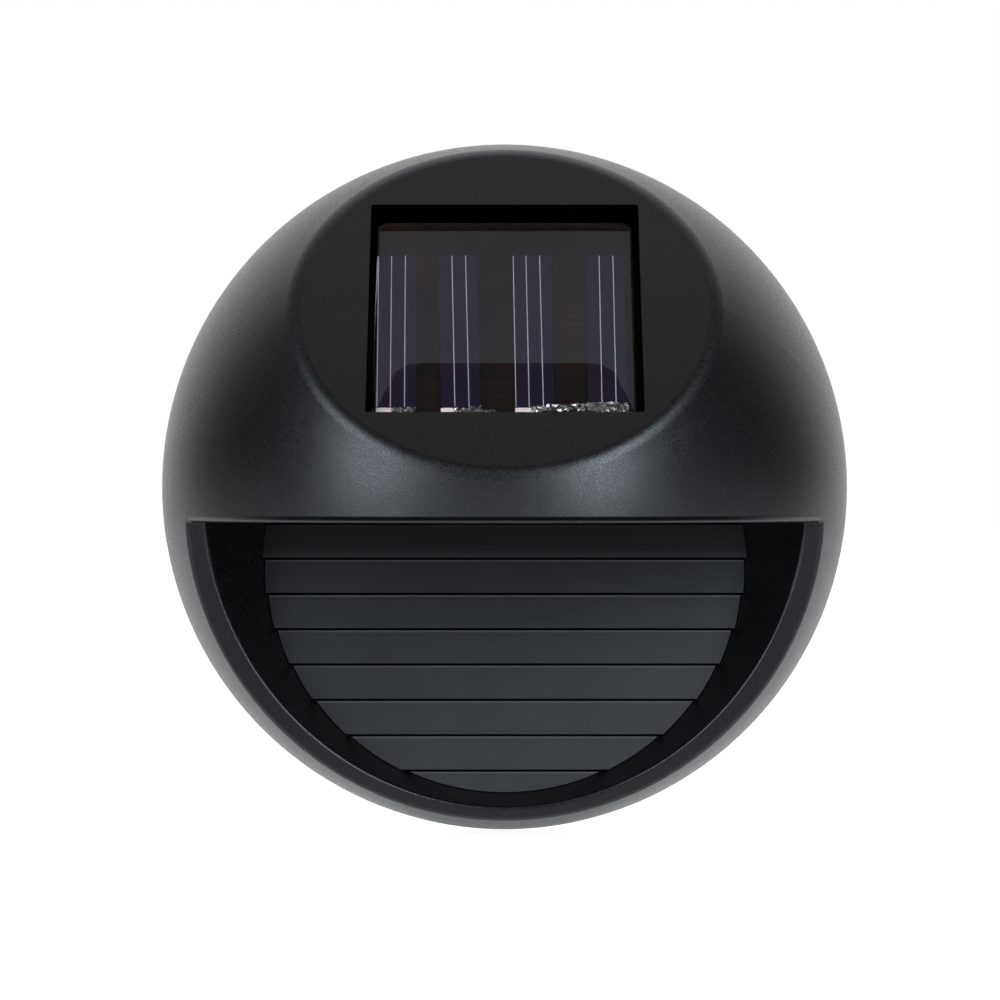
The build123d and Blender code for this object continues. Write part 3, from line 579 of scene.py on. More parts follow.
@dataclass(frozen=True)
class PlainMetal:
    """Plated or bare metal with streaks and slow dull patches."""

    name: str
    colour: Colour
    dull: Colour
    rough: float = 0.3
    rough_spread: float = 0.18
    streaks_per_m: float = 2500.0
    streak_length: float = 0.12
    patches_per_m: float = 900.0
    depth: float = 0.0012

    def build(self) -> bpy.types.Material:
        """Builds the material.

        Returns:
            The material.
        """
        skin = Surface(self.name)
        streaks = skin.effect(Effect.STREAKS, self.streaks_per_m, Length=self.streak_length)
        mottle = skin.effect(Effect.MOTTLE, self.patches_per_m, Contrast=1.0)
        skin.set("Base Color", skin.wiring.blend(mottle["Mask"], self.colour, self.dull))
        skin.set("Metallic", 1.0)
        skin.rough(mottle["Mask"], self.rough, self.rough + self.rough_spread)
        skin.bump(streaks["Height"], self.depth)
        return skin.material


@dataclass(frozen=True)
class MattSolid:
    """Rubber, foam, lacquer or sleeve: two close colours, a grain and a relief."""

    name: str
    colour: Colour
    second: Colour
    rough: float = 0.6
    grain_per_m: float = 2500.0
    depth: float = 0.01
    coat: float = 0.0
    patches_per_m: float = 300.0
    patches: float = 0.7
    rougher: float = 0.08
    smoother: float = 0.06

    def build(self) -> bpy.types.Material:
        """Builds the material.

        Returns:
            The material.
        """
        skin = Surface(self.name)
        grain = skin.effect(Effect.GRAIN, self.grain_per_m, Specks=1.0)
        mottle = skin.effect(Effect.MOTTLE, self.patches_per_m, Contrast=self.patches)
        mask = skin.wiring.maths("MAXIMUM", grain["Mask"], mottle["Mask"])
        skin.set("Base Color", skin.wiring.blend(mask, self.colour, self.second))
        skin.rough(grain["Height"], min(1.0, self.rough + self.rougher), self.rough - self.smoother)
        skin.set("Coat Weight", self.coat)
        skin.bump(grain["Height"], self.depth)
        return skin.material


@dataclass(frozen=True)
class ClearPlastic:
    """Clear resin or plastic that lets light through to what lies under it."""

    name: str
    tint: Colour = srgb(250, 250, 252)
    patch: Colour = srgb(238, 240, 244)
    rough: float = 0.0
    rough_spread: float = 0.002
    patches_per_m: float = 70.0
    refraction: float = 1.5

    def build(self) -> bpy.types.Material:
        """Builds the material; light that falls through it isn't stopped.

        Returns:
            The material.
        """
        skin = Surface(self.name)
        mottle = skin.effect(Effect.MOTTLE, self.patches_per_m, Contrast=1.0)
        skin.set("Base Color", skin.wiring.blend(mottle["Mask"], self.tint, self.patch))
        skin.set("Transmission Weight", 1.0)
        skin.set("IOR", self.refraction)
        skin.rough(mottle["Mask"], self.rough, self.rough + self.rough_spread)
        path = skin.wiring.add("LightPath")
        clear = skin.wiring.add("BsdfTransparent")
        mix = skin.wiring.add("MixShader")
        skin.wiring.join(path.outputs["Is Shadow Ray"], mix.inputs["Fac"])
        skin.wiring.join(skin.shader.outputs["BSDF"], mix.inputs[1])
        skin.wiring.join(clear.outputs["BSDF"], mix.inputs[2])
        skin.wiring.join(mix.outputs["Shader"], skin.output.inputs["Surface"])
        return skin.material


@dataclass(frozen=True)
class Silicon:
    """Blue-violet strips of coated silicon, darker and redder in slow patches."""

    name: str = "silicon"
    blue: Colour = srgb(9, 13, 32)
    violet: Colour = srgb(26, 13, 29)
    rough: float = 0.35
    rough_spread: float = 0.08
    patches_per_m: float = 110.0
    grain_per_m: float = 5200.0
    grain_depth: float = 0.002
    shine: float = 0.12

    def build(self) -> bpy.types.Material:
        """Builds the material.

        Returns:
            The material.
        """
        skin = Surface(self.name)
        patches = skin.effect(Effect.MOTTLE, self.patches_per_m, Contrast=1.0)
        grain = skin.effect(Effect.GRAIN, self.grain_per_m)
        skin.set("Base Color", skin.wiring.blend(patches["Mask"], self.blue, self.violet))
        skin.rough(grain["Height"], self.rough + self.rough_spread, self.rough)
        skin.set("Specular IOR Level", self.shine)
        skin.bump(grain["Height"], self.grain_depth)
        return skin.material


@dataclass(frozen=True)
class Lacquer:
    """The board's brown-black lacquer, drawn out in fine level lines."""

    name: str = "panel_lacquer"
    dark: Colour = srgb(5, 3, 2)
    brown: Colour = srgb(33, 12, 4)
    rough: float = 0.45
    rough_spread: float = 0.1
    lines_per_m: float = 900.0
    line_length: float = 0.02
    line_depth: float = 0.002
    patches_per_m: float = 70.0
    patches: float = 0.8
    shine: float = 0.1

    def build(self) -> bpy.types.Material:
        """Builds the material.

        Returns:
            The material.
        """
        skin = Surface(self.name)
        lines = skin.effect(Effect.STREAKS, self.lines_per_m, Length=self.line_length)
        patches = skin.effect(Effect.MOTTLE, self.patches_per_m, Contrast=self.patches)
        mask = skin.wiring.maths("MULTIPLY", lines["Mask"], patches["Mask"])
        skin.set("Base Color", skin.wiring.blend(mask, self.dark, self.brown))
        skin.rough(patches["Mask"], self.rough, self.rough + self.rough_spread)
        skin.set("Specular IOR Level", self.shine)
        skin.bump(lines["Height"], self.line_depth)
        return skin.material


Finish = MouldedPlastic | PlainMetal | MattSolid | ClearPlastic | Silicon | Lacquer


# ---------------------------------------------------------------- modelling
class Bench:
    """Modelling with Blender's own operators, with what they act on selected in code."""

    @staticmethod
    def clear() -> None:
        """Deselects everything."""
        if bpy.context.object and bpy.context.object.mode != "OBJECT":
            bpy.ops.object.mode_set(mode="OBJECT")
        bpy.ops.object.select_all(action="DESELECT")

    @staticmethod
    def block(name: str, size: Sequence[float], centre: Sequence[float]) -> bpy.types.Object:
        """Adds a block to be shaped further, with its size and place in its mesh.

        Args:
            name: The piece's name.
            size: Its lengths along X, Y and Z, in millimetres.
            centre: Its middle, in millimetres.

        Returns:
            The new object.
        """
        Bench.clear()
        bpy.ops.mesh.primitive_cube_add(size=1.0)
        made = bpy.context.object
        made.name = name
        made.data.name = name
        scale = Matrix.Diagonal((size[0] * MM, size[1] * MM, size[2] * MM, 1.0))
        made.data.transform(Matrix.Translation(Vector(centre) * MM) @ scale)
        return made

    @staticmethod
    def edit(made: bpy.types.Object, kind: str = "FACE") -> bmesh.types.BMesh:
        """Enters edit mode on one object with nothing selected.

        Args:
            made: The object.
            kind: VERT, EDGE or FACE.

        Returns:
            Its edit mesh.
        """
        Bench.clear()
        bpy.context.view_layer.objects.active = made
        made.select_set(True)
        bpy.ops.object.mode_set(mode="EDIT")
        bpy.ops.mesh.select_mode(type=kind)
        bpy.ops.mesh.select_all(action="DESELECT")
        return bmesh.from_edit_mesh(made.data)

    @staticmethod
    def pick(made: bpy.types.Object, kind: str, test: Callable[[Any], bool]) -> int:
        """Selects the vertices, edges or faces that pass a test, and nothing else.

        Args:
            made: The object, in edit mode.
            kind: VERT, EDGE or FACE.
            test: Says whether an element is wanted.

        Returns:
            How many were selected.
        """
        bpy.ops.mesh.select_mode(type=kind)
        bpy.ops.mesh.select_all(action="DESELECT")
        mesh = bmesh.from_edit_mesh(made.data)
        rows = {"VERT": mesh.verts, "EDGE": mesh.edges, "FACE": mesh.faces}[kind]
        rows.ensure_lookup_table()
        wanted = [item for item in rows if test(item)]
        for item in wanted:
            item.select = True
        mesh.select_flush_mode()
        bmesh.update_edit_mesh(made.data)
        return len(wanted)

    @staticmethod
    def leave() -> None:
        """Leaves edit mode."""
        bpy.ops.object.mode_set(mode="OBJECT")

    @staticmethod
    def cut(made: bpy.types.Object, axis: int, at: float) -> None:
        """Cuts the whole mesh across, keeping both sides.

        Args:
            made: The object, in edit mode.
            axis: 0, 1 or 2 for X, Y or Z.
            at: Where, in millimetres.
        """
        point = [0.0, 0.0, 0.0]
        normal = [0.0, 0.0, 0.0]
        point[axis] = at * MM
        normal[axis] = 1.0
        bpy.ops.mesh.select_all(action="SELECT")
        bpy.ops.mesh.bisect(plane_co=point, plane_no=normal)

    @staticmethod
    def modify(made: bpy.types.Object, kind: str, **options: Any) -> None:
        """Adds a modifier and applies it.

        Args:
            made: The object.
            kind: The modifier's type.
            options: Its settings.
        """
        Bench.clear()
        bpy.context.view_layer.objects.active = made
        made.select_set(True)
        modifier = made.modifiers.new(kind.lower(), kind)
        for key, value in options.items():
            setattr(modifier, key, value)
        bpy.ops.object.modifier_apply(modifier=modifier.name)

    @staticmethod
    def smooth(made: bpy.types.Object, degrees: float) -> None:
        """Shades the mesh smooth below an angle.

        Args:
            made: The object.
            degrees: The angle.
        """
        Bench.clear()
        bpy.context.view_layer.objects.active = made
        made.select_set(True)
        bpy.ops.object.shade_smooth_by_angle(angle=math.radians(degrees))

    @staticmethod
    def copy(made: bpy.types.Object) -> bpy.types.Object:
        """Copies an object with a mesh of its own.

        Args:
            made: The object.

        Returns:
            The copy.
        """
        Bench.clear()
        bpy.context.view_layer.objects.active = made
        made.select_set(True)
        bpy.ops.object.duplicate(linked=False)
        return bpy.context.object

    @staticmethod
    def join(name: str, parts: Sequence[bpy.types.Object]) -> bpy.types.Object:
        """Joins objects into one.

        Args:
            name: The joined piece's name.
            parts: The objects.

        Returns:
            The joined object.
        """
        Bench.clear()
        for part in parts:
            part.select_set(True)
        bpy.context.view_layer.objects.active = parts[0]
        bpy.ops.object.join()
        parts[0].name = name
        parts[0].data.name = name
        return parts[0]


def dress(finish: Finish, *nodes: str) -> None:
    """Gives CAD nodes a finish.

    Args:
        finish: The finish, which is built here.
        nodes: The nodes' names.
    """
    material = finish.build()
    for node in nodes:
        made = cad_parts[node]
        made.data.materials.clear()
        made.data.materials.append(material)
        LOG.info("%s wears %s", node, material.name)


def settle(made: bpy.types.Object, body: str, slot: str, *nodes: str) -> None:
    """Says what a new piece rides on and stands for.

    Args:
        made: The piece.
        body: The CAD body it rides on.
        slot: A material slot's name; not used.
        nodes: The CAD nodes it replaces.
    """
    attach(made, body)
    if nodes:
        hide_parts(*nodes)
    LOG.info("%s made, %d faces", made.name, len(made.data.polygons))


# ---------------------------------------------------------------- sub-assemblies
@dataclass
class Casing:
    """The front moulding and the reflector plate behind its recess."""

    # Painted shade on the moulding: dark in the window below the facet, a dark line along the
    # hood's edge, darker on the lip's face, and darker and warmer on the facet.
    skin: MouldedPlastic = MouldedPlastic("black_moulding", painted_shades=(
        Pocket(37.5, 22.52, 48.74), Line(-5.25, 0.45, (34.0, 50.0)), Flat(7.9, 26.826),
        Flat(-37.5, 48.8, 100.0, srgb(22, 16, 15), 0.26)))
    # Painted light on the bands: shadow in each gap, a highlight on each upper edge, and shade over
    # the first band under the hood.
    bands: MouldedPlastic = MouldedPlastic(
        "black_bands", dark=srgb(12, 13, 14), light=srgb(32, 34, 37), rough=0.48, rough_spread=0.1,
        grooves=Grooves(-6.15, 6.1),
        painted_shades=(Line(-9.0, 3.6, (60.0, 61.0), srgb(10, 11, 13), 0.4),))

    def build(self) -> None:
        """Dresses the casing."""
        dress(self.skin, "dome_shell")
        dress(self.bands, "reflector_plate")


@dataclass(frozen=True)
class Strip:
    """One strip of silicon: where its middle lies and how far it is turned."""

    x: float
    turn: float
    edge_line: bool


@dataclass(frozen=True)
class Ribbon:
    """A crumpled end of tinned ribbon: its middle, lengths, turn and seed."""

    x: float
    up: float
    long: float
    wide: float
    high: float
    turn: float
    seed: int


@dataclass
class SolarPanel:
    """The panel in the facet's window: board, strips, tabs, ribbon ends and the poured resin.

    Its pieces are modelled lying flat: X is across, Y up the slope and Z away from the board.
    """

    width: float = 43.0
    height: float = 43.0
    board_top: float = 44.2
    tilt: float = 37.5
    strip_size: tuple[float, float, float] = (6.5, 33.0, 0.3)
    strip_drop: float = 2.0
    strips: tuple[Strip, ...] = (Strip(-17.845, 0.7, True), Strip(-7.55, 1.35, False),
                                 Strip(4.71, 0.7, True), Strip(16.77, -0.15, False))
    line_places: tuple[float, ...] = (-0.95, 1.35)
    line_edge: float = -3.1
    line_size: tuple[float, float] = (0.15, 0.05)
    strip_ease: float = 0.05
    line_short: float = 0.4
    line_sunk: float = 0.02
    line_ease: float = 0.03
    tab_size: tuple[float, float] = (2.8, 1.2)
    tab_over: float = 0.06
    tab_cuts: tuple[float, ...] = (0.3, 0.7)
    tab_bulge: float = 0.07
    tab_ease: float = 0.08
    crumple: float = 0.19
    ribbon_cuts: tuple[float, ...] = (-0.36, -0.2, -0.05, 0.12, 0.26, 0.4)
    ribbons: tuple[Ribbon, ...] = (
        Ribbon(-16.4, -19.1, 3.8, 0.9, 0.34, 1.0, 3),
        Ribbon(-6.0, -19.1, 4.4, 1.1, 0.45, 2.0, 5),
        Ribbon(-3.0, -19.4, 3.2, 0.7, 0.30, -4.0, 8),
        Ribbon(6.7, -18.8, 4.6, 1.3, 0.40, 3.0, 12),
        Ribbon(11.0, -18.6, 4.6, 1.4, 0.45, 3.0, 17),
        Ribbon(16.6, -18.6, 6.9, 2.1, 0.45, 0.5, 21),
        Ribbon(19.2, -19.4, 2.6, 0.8, 0.50, -14.0, 26),
    )
    resin_sunk: float = 0.03
    resin_side: float = 1.02
    resin_corner: float = 1.8
    resin_base: float = 0.1
    resin_holds: tuple[float, float] = (0.08, 0.92)
    resin_rim: tuple[tuple[float, float], ...] = (
        (0.04, 0.09), (0.06, 0.08), (0.08, 0.06), (0.10, 0.04))
    resin_fall: tuple[tuple[float, float, float], ...] = (
        (0.5, 0.2, 0.05), (0.6, 1.6, 0.05), (0.9, 2.8, 0.05), (1.3, 4.2, 0.05), (1.8, 5.0, 0.02))
    resin_rows: tuple[float, ...] = (2.4, 4.5, 9.0, 15.0)
    resin_levels: int = 3

    def lay(self, made: bpy.types.Object) -> None:
        """Moves a piece that was modelled flat on to the board's face.

        Args:
            made: The piece.
        """
        tilt = math.radians(self.tilt)
        normal = Vector((0.0, -math.cos(tilt), math.sin(tilt)))
        up = Vector((0.0, math.sin(tilt), math.cos(tilt)))
        turn = Matrix((Vector((1.0, 0.0, 0.0)), up, normal)).transposed().to_4x4()
        made.data.transform(Matrix.Translation(normal * self.board_top * MM) @ turn)

    def seat(self, strip: Strip) -> Matrix:
        """Finds where a strip lies on the flat board.

        Args:
            strip: The strip.

        Returns:
            Its place and turn.
        """
        turn = Matrix.Rotation(math.radians(strip.turn), 4, "Z")
        return Matrix.Translation(Vector((strip.x, -self.strip_drop, 0.0)) * MM) @ turn

    def line(self, x: float) -> bpy.types.Object:
        """Models one printed silver line on a strip.

        Args:
            x: Its place across the strip.

        Returns:
            The line, with its long edges eased.
        """
        wide, high = self.line_size
        long, top = self.strip_size[1] - self.line_short, self.strip_size[2]
        made = Bench.block("line", (wide, long, high + self.line_sunk),
                           (x, 0.0, top + (high - self.line_sunk) / 2))
        Bench.edit(made)
        Bench.pick(made, "EDGE", lambda e: all(v.co.z > (top + high / 2) * MM for v in e.verts)
                   and abs(e.verts[0].co.x - e.verts[1].co.x) < wide * MM / 2)
        bpy.ops.mesh.bevel(offset=self.line_ease * MM, segments=2)
        Bench.leave()
        return made

    def strip(self, name: str, lines: Sequence[float], silicon: bpy.types.Material,
              silver: bpy.types.Material) -> bpy.types.Object:
        """Models one strip with its printed lines.

        Args:
            name: The piece's name.
            lines: Where the printed lines run.
            silicon: The strip's finish.
            silver: The lines' finish.

        Returns:
            The strip, lying at the board's middle.
        """
        wide, long, high = self.strip_size
        made = Bench.block(name, (wide, long, high), (0.0, 0.0, high / 2))
        Bench.edit(made)
        Bench.pick(made, "EDGE", lambda e: all(v.co.z > high * MM / 2 for v in e.verts))
        bpy.ops.mesh.bevel(offset=self.strip_ease * MM, segments=2)
        Bench.leave()
        rows = [self.line(x) for x in lines]
        made.data.materials.append(silicon)
        for row in rows:
            row.data.materials.append(silver)
        return Bench.join(name, [made, *rows])

    def silicon(self) -> bpy.types.Object:
        """Models the four strips: two kinds, each modelled once and laid twice.

        Returns:
            The strips as one piece of separate solids.
        """
        silicon = Silicon().build()
        silver = MattSolid("silver_line", srgb(168, 160, 163), srgb(142, 134, 138), 0.5).build()
        edged = (self.line_edge, *self.line_places)
        kinds = {True: self.strip("strip_edged", edged, silicon, silver),
                 False: self.strip("strip_plain", self.line_places, silicon, silver)}
        laid = []
        for seat in self.strips:
            made = Bench.copy(kinds[seat.edge_line])
            made.data.transform(self.seat(seat))
            laid.append(made)
        for kind in kinds.values():
            bpy.data.objects.remove(kind)
        made = Bench.join("panel_strips", laid)
        self.lay(made)
        settle(made, "housing", "silicon", "solar_cells")
        return made

    def tab(self) -> bpy.types.Object:
        """Models one soldered tab, pressed flat with eased edges.

        Returns:
            The tab, with its upper left corner at the origin.
        """
        wide, deep = self.tab_size
        high = self.strip_size[2] + self.tab_over
        made = Bench.block("tab", (wide, deep, high), (wide / 2, -deep / 2, high / 2))
        Bench.edit(made)
        for share in self.tab_cuts:
            Bench.cut(made, 0, wide * share)
        bulge = self.tab_cuts[0] * wide * MM
        Bench.pick(made, "VERT", lambda v: v.co.z > high * MM / 2 and abs(v.co.x - bulge) < TOUCH)
        bpy.ops.transform.translate(value=(0.0, 0.0, self.tab_bulge * MM))
        Bench.pick(made, "EDGE", lambda e: all(v.co.z > high * MM / 2 for v in e.verts)
                   and len(e.link_faces) == 2 and e.calc_face_angle(0.0) > 1.0)
        bpy.ops.mesh.bevel(offset=self.tab_ease * MM, segments=2)
        Bench.leave()
        Bench.smooth(made, 40)
        return made

    def ribbon(self, end: Ribbon) -> bpy.types.Object:
        """Models one crumpled ribbon end.

        Args:
            end: Its place, size and seed.

        Returns:
            The ribbon end, in its place on the board.
        """
        made = Bench.block("ribbon", (end.long, end.wide, end.high), (0.0, 0.0, 0.0))
        Bench.edit(made)
        for share in self.ribbon_cuts:
            Bench.cut(made, 0, end.long * share)
        Bench.cut(made, 1, 0.0)
        bpy.ops.mesh.select_all(action="SELECT")
        bpy.ops.mesh.subdivide(number_cuts=1)
        bpy.ops.transform.vertex_random(offset=self.crumple * MM, uniform=1.0, normal=0.0,
                                        seed=end.seed)
        bpy.ops.mesh.normals_make_consistent(inside=False)
        Bench.leave()
        Bench.smooth(made, 20)
        turn = Matrix.Rotation(math.radians(end.turn), 4, "Z")
        middle = Vector((end.x, end.up, self.strip_size[2] + end.high / 2)) * MM
        made.data.transform(Matrix.Translation(middle) @ turn)
        return made

    def tabs(self) -> bpy.types.Object:
        """Models the tabs at the strips' lower left corners and the ribbon ends beside them.

        Returns:
            Tabs and ribbon ends as one piece of separate solids.
        """
        wide, long, _ = self.strip_size
        corner = Matrix.Translation(Vector((-wide / 2, -long / 2, 0.0)) * MM)
        tin = MattSolid("tab_tin", srgb(232, 212, 204), srgb(206, 186, 180), 0.4).build()
        foil = PlainMetal("tinned_ribbon", srgb(214, 212, 206), srgb(96, 94, 92), 0.16).build()
        first = self.tab()
        laid = []
        for seat in self.strips:
            made = Bench.copy(first)
            made.data.transform(self.seat(seat) @ corner)
            made.data.materials.append(tin)
            laid.append(made)
        bpy.data.objects.remove(first)
        for end in self.ribbons:
            made = self.ribbon(end)
            made.data.materials.append(foil)
            laid.append(made)
        made = Bench.join("panel_tabs", laid)
        self.lay(made)
        settle(made, "housing", "tinned_ribbon", "solar_tabs")
        return made

    def resin(self) -> bpy.types.Object:
        """Models the poured resin: a rounded rim and a face that falls away towards its ends.

        Returns:
            The resin, laid on the board.
        """
        made = Bench.block("panel_resin",
                           (self.width, self.height, self.resin_side + self.resin_sunk),
                           (0, 0, (self.resin_side - self.resin_sunk) / 2))
        Bench.edit(made)
        Bench.pick(made, "EDGE", lambda e: abs(e.verts[0].co.z - e.verts[1].co.z) > TOUCH)
        bpy.ops.mesh.bevel(offset=self.resin_corner * MM, segments=6)
        Bench.pick(made, "FACE", lambda f: f.normal.z < -0.9)
        bpy.ops.mesh.inset(thickness=self.resin_base * MM)
        for level in self.resin_holds:
            Bench.cut(made, 2, level)
        Bench.pick(made, "FACE", lambda f: f.normal.z > 0.9)
        for inset, rise in self.resin_rim:
            bpy.ops.mesh.inset(thickness=inset * MM, depth=rise * MM)
        reach_x = self.width / 2 - sum(row[0] for row in self.resin_rim)
        reach_y = self.height / 2 - sum(row[0] for row in self.resin_rim)
        for inset_x, inset_y, rise in self.resin_fall:
            bpy.ops.mesh.extrude_region()
            bpy.ops.transform.resize(value=((reach_x - inset_x) / reach_x,
                                            (reach_y - inset_y) / reach_y, 1.0))
            bpy.ops.transform.translate(value=(0.0, 0.0, rise * MM))
            reach_x -= inset_x
            reach_y -= inset_y
        for inset in self.resin_rows:
            for axis, side in ((0, self.width / 2), (1, self.height / 2)):
                for sign in (-1, 1):
                    Bench.cut(made, axis, sign * (side - inset))
        Bench.leave()
        Bench.modify(made, "SUBSURF", levels=self.resin_levels, render_levels=self.resin_levels)
        Bench.smooth(made, 60)
        self.lay(made)
        made.data.materials.append(ClearPlastic("poured_resin").build())
        settle(made, "housing", "clear_resin", "solar_cover")
        return made

    def build(self) -> None:
        """Builds and dresses the panel."""
        dress(Lacquer(), "solar_board")
        dress(MattSolid("black_foam", srgb(14, 14, 14), srgb(24, 24, 24), 0.85), "solar_tape")
        self.silicon()
        self.tabs()
        self.resin()


@dataclass
class BackSide:
    """The back plate with its battery door, switch and fastenings."""

    def build(self) -> None:
        """Dresses the back."""
        dress(MouldedPlastic("black_plate", rough=0.5, grain_per_m=4200.0), "back_plate")
        dress(MouldedPlastic("black_door", rough=0.46, grain_per_m=4800.0), "battery_door")
        dress(MattSolid("grey_foam", srgb(52, 53, 55), srgb(74, 75, 78), 0.9, 1800.0, 0.06),
              "back_seal", "battery_door_seal")
        dress(PlainMetal("zinc_steel", srgb(198, 200, 204), srgb(160, 164, 170)),
              "back_plate_screws", "battery_door_screws", "reflector_screws", "switch_screws",
              "circuit_board_screws", "switch_frame")
        dress(PlainMetal("nickel_steel", srgb(206, 202, 194), srgb(168, 164, 158), 0.25),
              "battery_cap", "battery_contact_plus", "battery_contact_minus", "battery_spring",
              "switch_pins")
        dress(MattSolid("cell_sleeve", srgb(34, 92, 56), srgb(40, 104, 64), 0.3, coat=0.4),
              "battery_cell")
        dress(MattSolid("phenolic", srgb(122, 78, 44), srgb(98, 60, 32), 0.55), "switch_base")
        dress(MouldedPlastic("switch_black", rough=0.38), "switch_slider")


@dataclass
class Circuit:
    """The lamp, its board and the leads inside the casing."""

    leads: tuple[str, ...] = ("solar_lead", "battery_lead", "switch_lead")

    def build(self) -> None:
        """Dresses the circuit."""
        dress(MattSolid("wire_red", srgb(170, 22, 20), srgb(188, 32, 28), 0.35, coat=0.3),
              *(lead + "_red" for lead in self.leads))
        dress(MattSolid("wire_black", srgb(22, 22, 24), srgb(36, 36, 38), 0.35, coat=0.3),
              *(lead + "_black" for lead in self.leads))
        dress(MattSolid("board_green", srgb(18, 84, 44), srgb(26, 104, 56), 0.35, coat=0.5),
              "circuit_board")
        dress(MattSolid("chip_black", srgb(24, 24, 25), srgb(38, 38, 40), 0.6), "driver_chip")
        dress(MattSolid("inductor_green", srgb(96, 150, 120), srgb(116, 168, 138), 0.35),
              "inductor")
        dress(PlainMetal("tinned_leg", srgb(214, 214, 216), srgb(176, 178, 182)), "led_legs")
        dress(ClearPlastic("lamp_resin", srgb(244, 246, 236), rough=0.04, rough_spread=0.02), "led")
        dress(ClearPlastic("clear_window", srgb(246, 248, 250), rough=0.08, rough_spread=0.03),
              "led_window")


# ---------------------------------------------------------------- studio
@dataclass(frozen=True)
class Softbox:
    """A soft lamp, placed by its direction from the object."""

    name: str
    azimuth: float
    elevation: float
    distance: float
    size: tuple[float, float]
    radiance: float
    colour: Colour = (1.0, 1.0, 1.0)

    def build(self) -> bpy.types.Object:
        """Builds the lamp, turned towards the object.

        Returns:
            The lamp.
        """
        around, above = math.radians(self.azimuth), math.radians(self.elevation)
        away = Vector((math.sin(around) * math.cos(above), -math.cos(around) * math.cos(above),
                       math.sin(above)))
        lamp = bpy.data.lights.new(self.name, "AREA")
        lamp.shape = "RECTANGLE"
        lamp.size, lamp.size_y = self.size
        lamp.color = self.colour
        lamp.energy = self.radiance * math.pi * self.size[0] * self.size[1]
        made = bpy.data.objects.new(self.name, lamp)
        made.location = away * self.distance
        made.rotation_euler = away.to_track_quat("Z", "Y").to_euler()
        made.visible_camera = False
        bpy.context.scene.collection.objects.link(made)
        return made


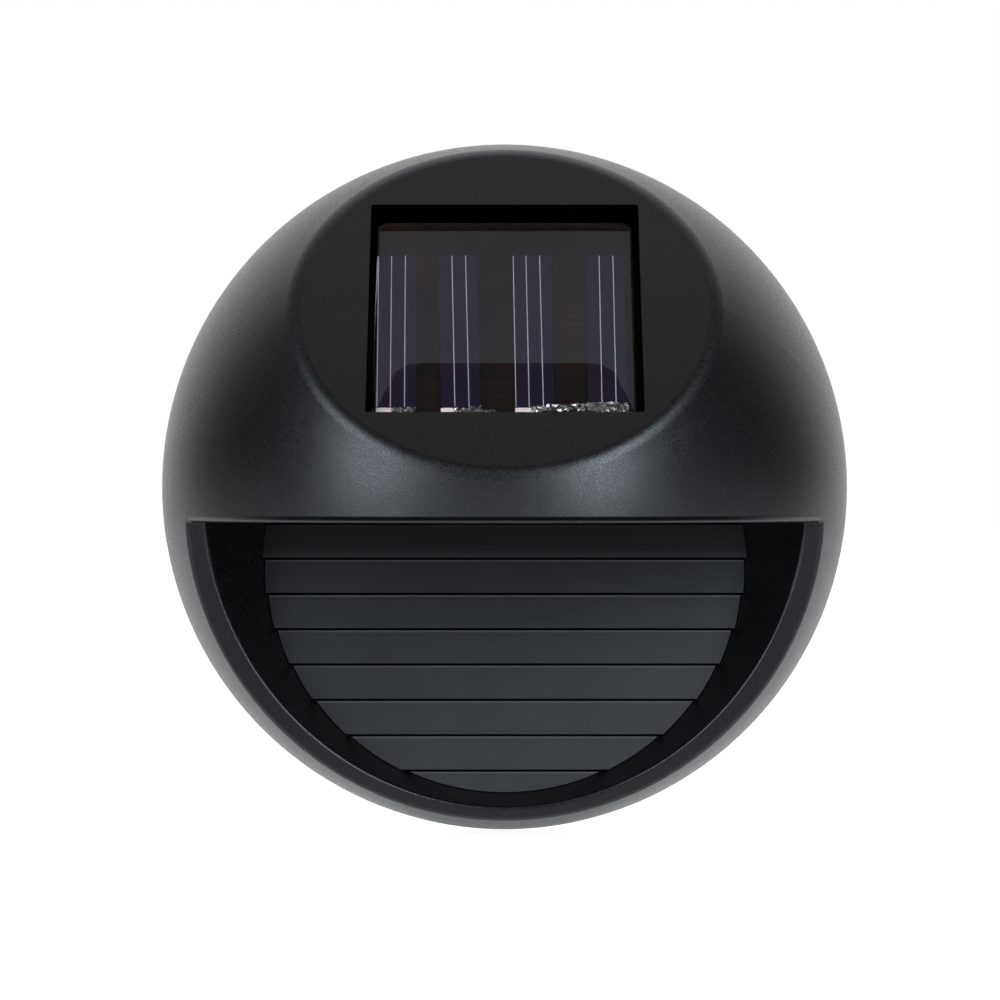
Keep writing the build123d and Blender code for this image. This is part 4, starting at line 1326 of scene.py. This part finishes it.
@dataclass
class Studio:
    """Floor, lamps, surroundings and camera."""

    floor_z: float = -0.0603
    floor_half: float = 4.0
    floor_glow: float = 0.5
    floor_white: float = 0.9
    floor_dim: float = 0.02
    floor_fade: tuple[float, float] = (-0.10, -0.06)
    floor_wings: float = 0.6
    room_lift: float = 0.55
    room_span: tuple[float, float] = (0.38, 1.05)
    room_levels: tuple[float, float] = (0.045, 1.0)
    camera_place: tuple[float, float, float] = (-0.000792, -0.600, -0.002289)
    camera_lens: float = 122.69
    lamps: tuple[Softbox, ...] = (
        Softbox("lamp_left", -41.0, 17.0, 1.1, (0.48, 1.0), 5.0, (0.88, 0.94, 1.0)),
        Softbox("lamp_right", 30.0, 17.0, 1.1, (0.34, 1.0), 8.0, (0.88, 0.94, 1.0)),
        Softbox("lamp_top", 180.0, 88.0, 1.0, (0.5, 0.62), 0.5, (0.95, 0.98, 1.06)),
    )

    def surroundings(self) -> None:
        """Makes the white backdrop, which glossy surfaces see behind and beside the object only."""
        world = bpy.data.worlds.new("studio")
        bpy.context.scene.world = world
        world.use_nodes = True
        world.node_tree.nodes.clear()
        wiring = Wiring(world.node_tree)
        split = wiring.add("SeparateXYZ")
        wiring.join(wiring.add("TexCoord").outputs["Generated"], split.inputs["Vector"])
        above = wiring.maths("MAXIMUM", split.outputs["Z"], 0.0)
        behind = wiring.maths("ADD", split.outputs["Y"],
                              wiring.maths("MULTIPLY", above, self.room_lift))
        level = wiring.ramp(behind, *self.room_span, *self.room_levels)
        white = wiring.add("Background", {"Strength": 1.0, "Color": (1.0, 1.0, 1.0, 1.0)})
        room = wiring.add("Background", {"Color": (1.0, 1.0, 1.0, 1.0)})
        wiring.join(level, room.inputs["Strength"])
        mix = wiring.add("MixShader")
        wiring.join(wiring.add("LightPath").outputs["Is Camera Ray"], mix.inputs["Fac"])
        wiring.join(room.outputs["Background"], mix.inputs[1])
        wiring.join(white.outputs["Background"], mix.inputs[2])
        output = wiring.add("OutputWorld")
        wiring.join(mix.outputs["Shader"], output.inputs["Surface"])

    def floor(self) -> None:
        """Lays the pale floor, which keeps the object's shadow."""
        Bench.clear()
        bpy.ops.mesh.primitive_plane_add(size=1.0)
        made = bpy.context.object
        made.name = "studio_floor"
        grow = Matrix.Scale(2 * self.floor_half, 4)
        made.data.transform(Matrix.Translation((0, 0, self.floor_z)) @ grow)
        surface = Surface("pale_floor")
        surface.set("Base Color", (0.8, 0.8, 0.8))
        surface.set("Roughness", 0.9)
        surface.set("Specular IOR Level", 0.1)
        wiring, axes = surface.wiring, surface.axes()
        path = wiring.add("LightPath").outputs
        wings = wiring.maths("MULTIPLY", wiring.maths("ABSOLUTE", axes["X"]), self.floor_wings)
        behind = wiring.ramp(wiring.maths("SUBTRACT", axes["Y"], wings), *self.floor_fade,
                             self.floor_dim, self.floor_glow)
        mirrored = wiring.maths("MAXIMUM", path["Is Glossy Ray"], path["Is Transmission Ray"])
        mirrored = wiring.maths("MULTIPLY", mirrored, behind)
        seen = wiring.maths("MULTIPLY", path["Is Camera Ray"], self.floor_white)
        glow = wiring.add("Emission")
        wiring.join(wiring.maths("MAXIMUM", seen, mirrored), glow.inputs["Strength"])
        both = wiring.add("AddShader")
        wiring.join(surface.shader.outputs["BSDF"], both.inputs[0])
        wiring.join(glow.outputs["Emission"], both.inputs[1])
        wiring.join(both.outputs["Shader"], surface.output.inputs["Surface"])
        made.data.materials.append(surface.material)

    def camera(self) -> None:
        """Sets the camera level, square to the wall."""
        lens = bpy.data.cameras.new("camera")
        lens.sensor_width = 36.0
        lens.lens = self.camera_lens
        lens.clip_start = 0.01
        lens.clip_end = 50.0
        made = bpy.data.objects.new("camera", lens)
        made.location = self.camera_place
        made.rotation_euler = (math.radians(90), 0.0, 0.0)
        bpy.context.scene.collection.objects.link(made)
        bpy.context.scene.camera = made

    def build(self) -> None:
        """Builds the studio."""
        self.surroundings()
        self.floor()
        for lamp in self.lamps:
            lamp.build()
            LOG.info("lamp %s", lamp.name)
        self.camera()
        bpy.context.scene.view_settings.view_transform = "Standard"


def main() -> None:
    """Builds the fence light and its studio."""
    logging.basicConfig(level=logging.INFO, format="%(message)s")
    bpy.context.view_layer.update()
    for assembly in (Casing(), SolarPanel(), BackSide(), Circuit(), Studio()):
        LOG.info("building %s", type(assembly).__name__)
        assembly.build()
    bpy.context.view_layer.update()


if __name__ == "__main__":
    main()
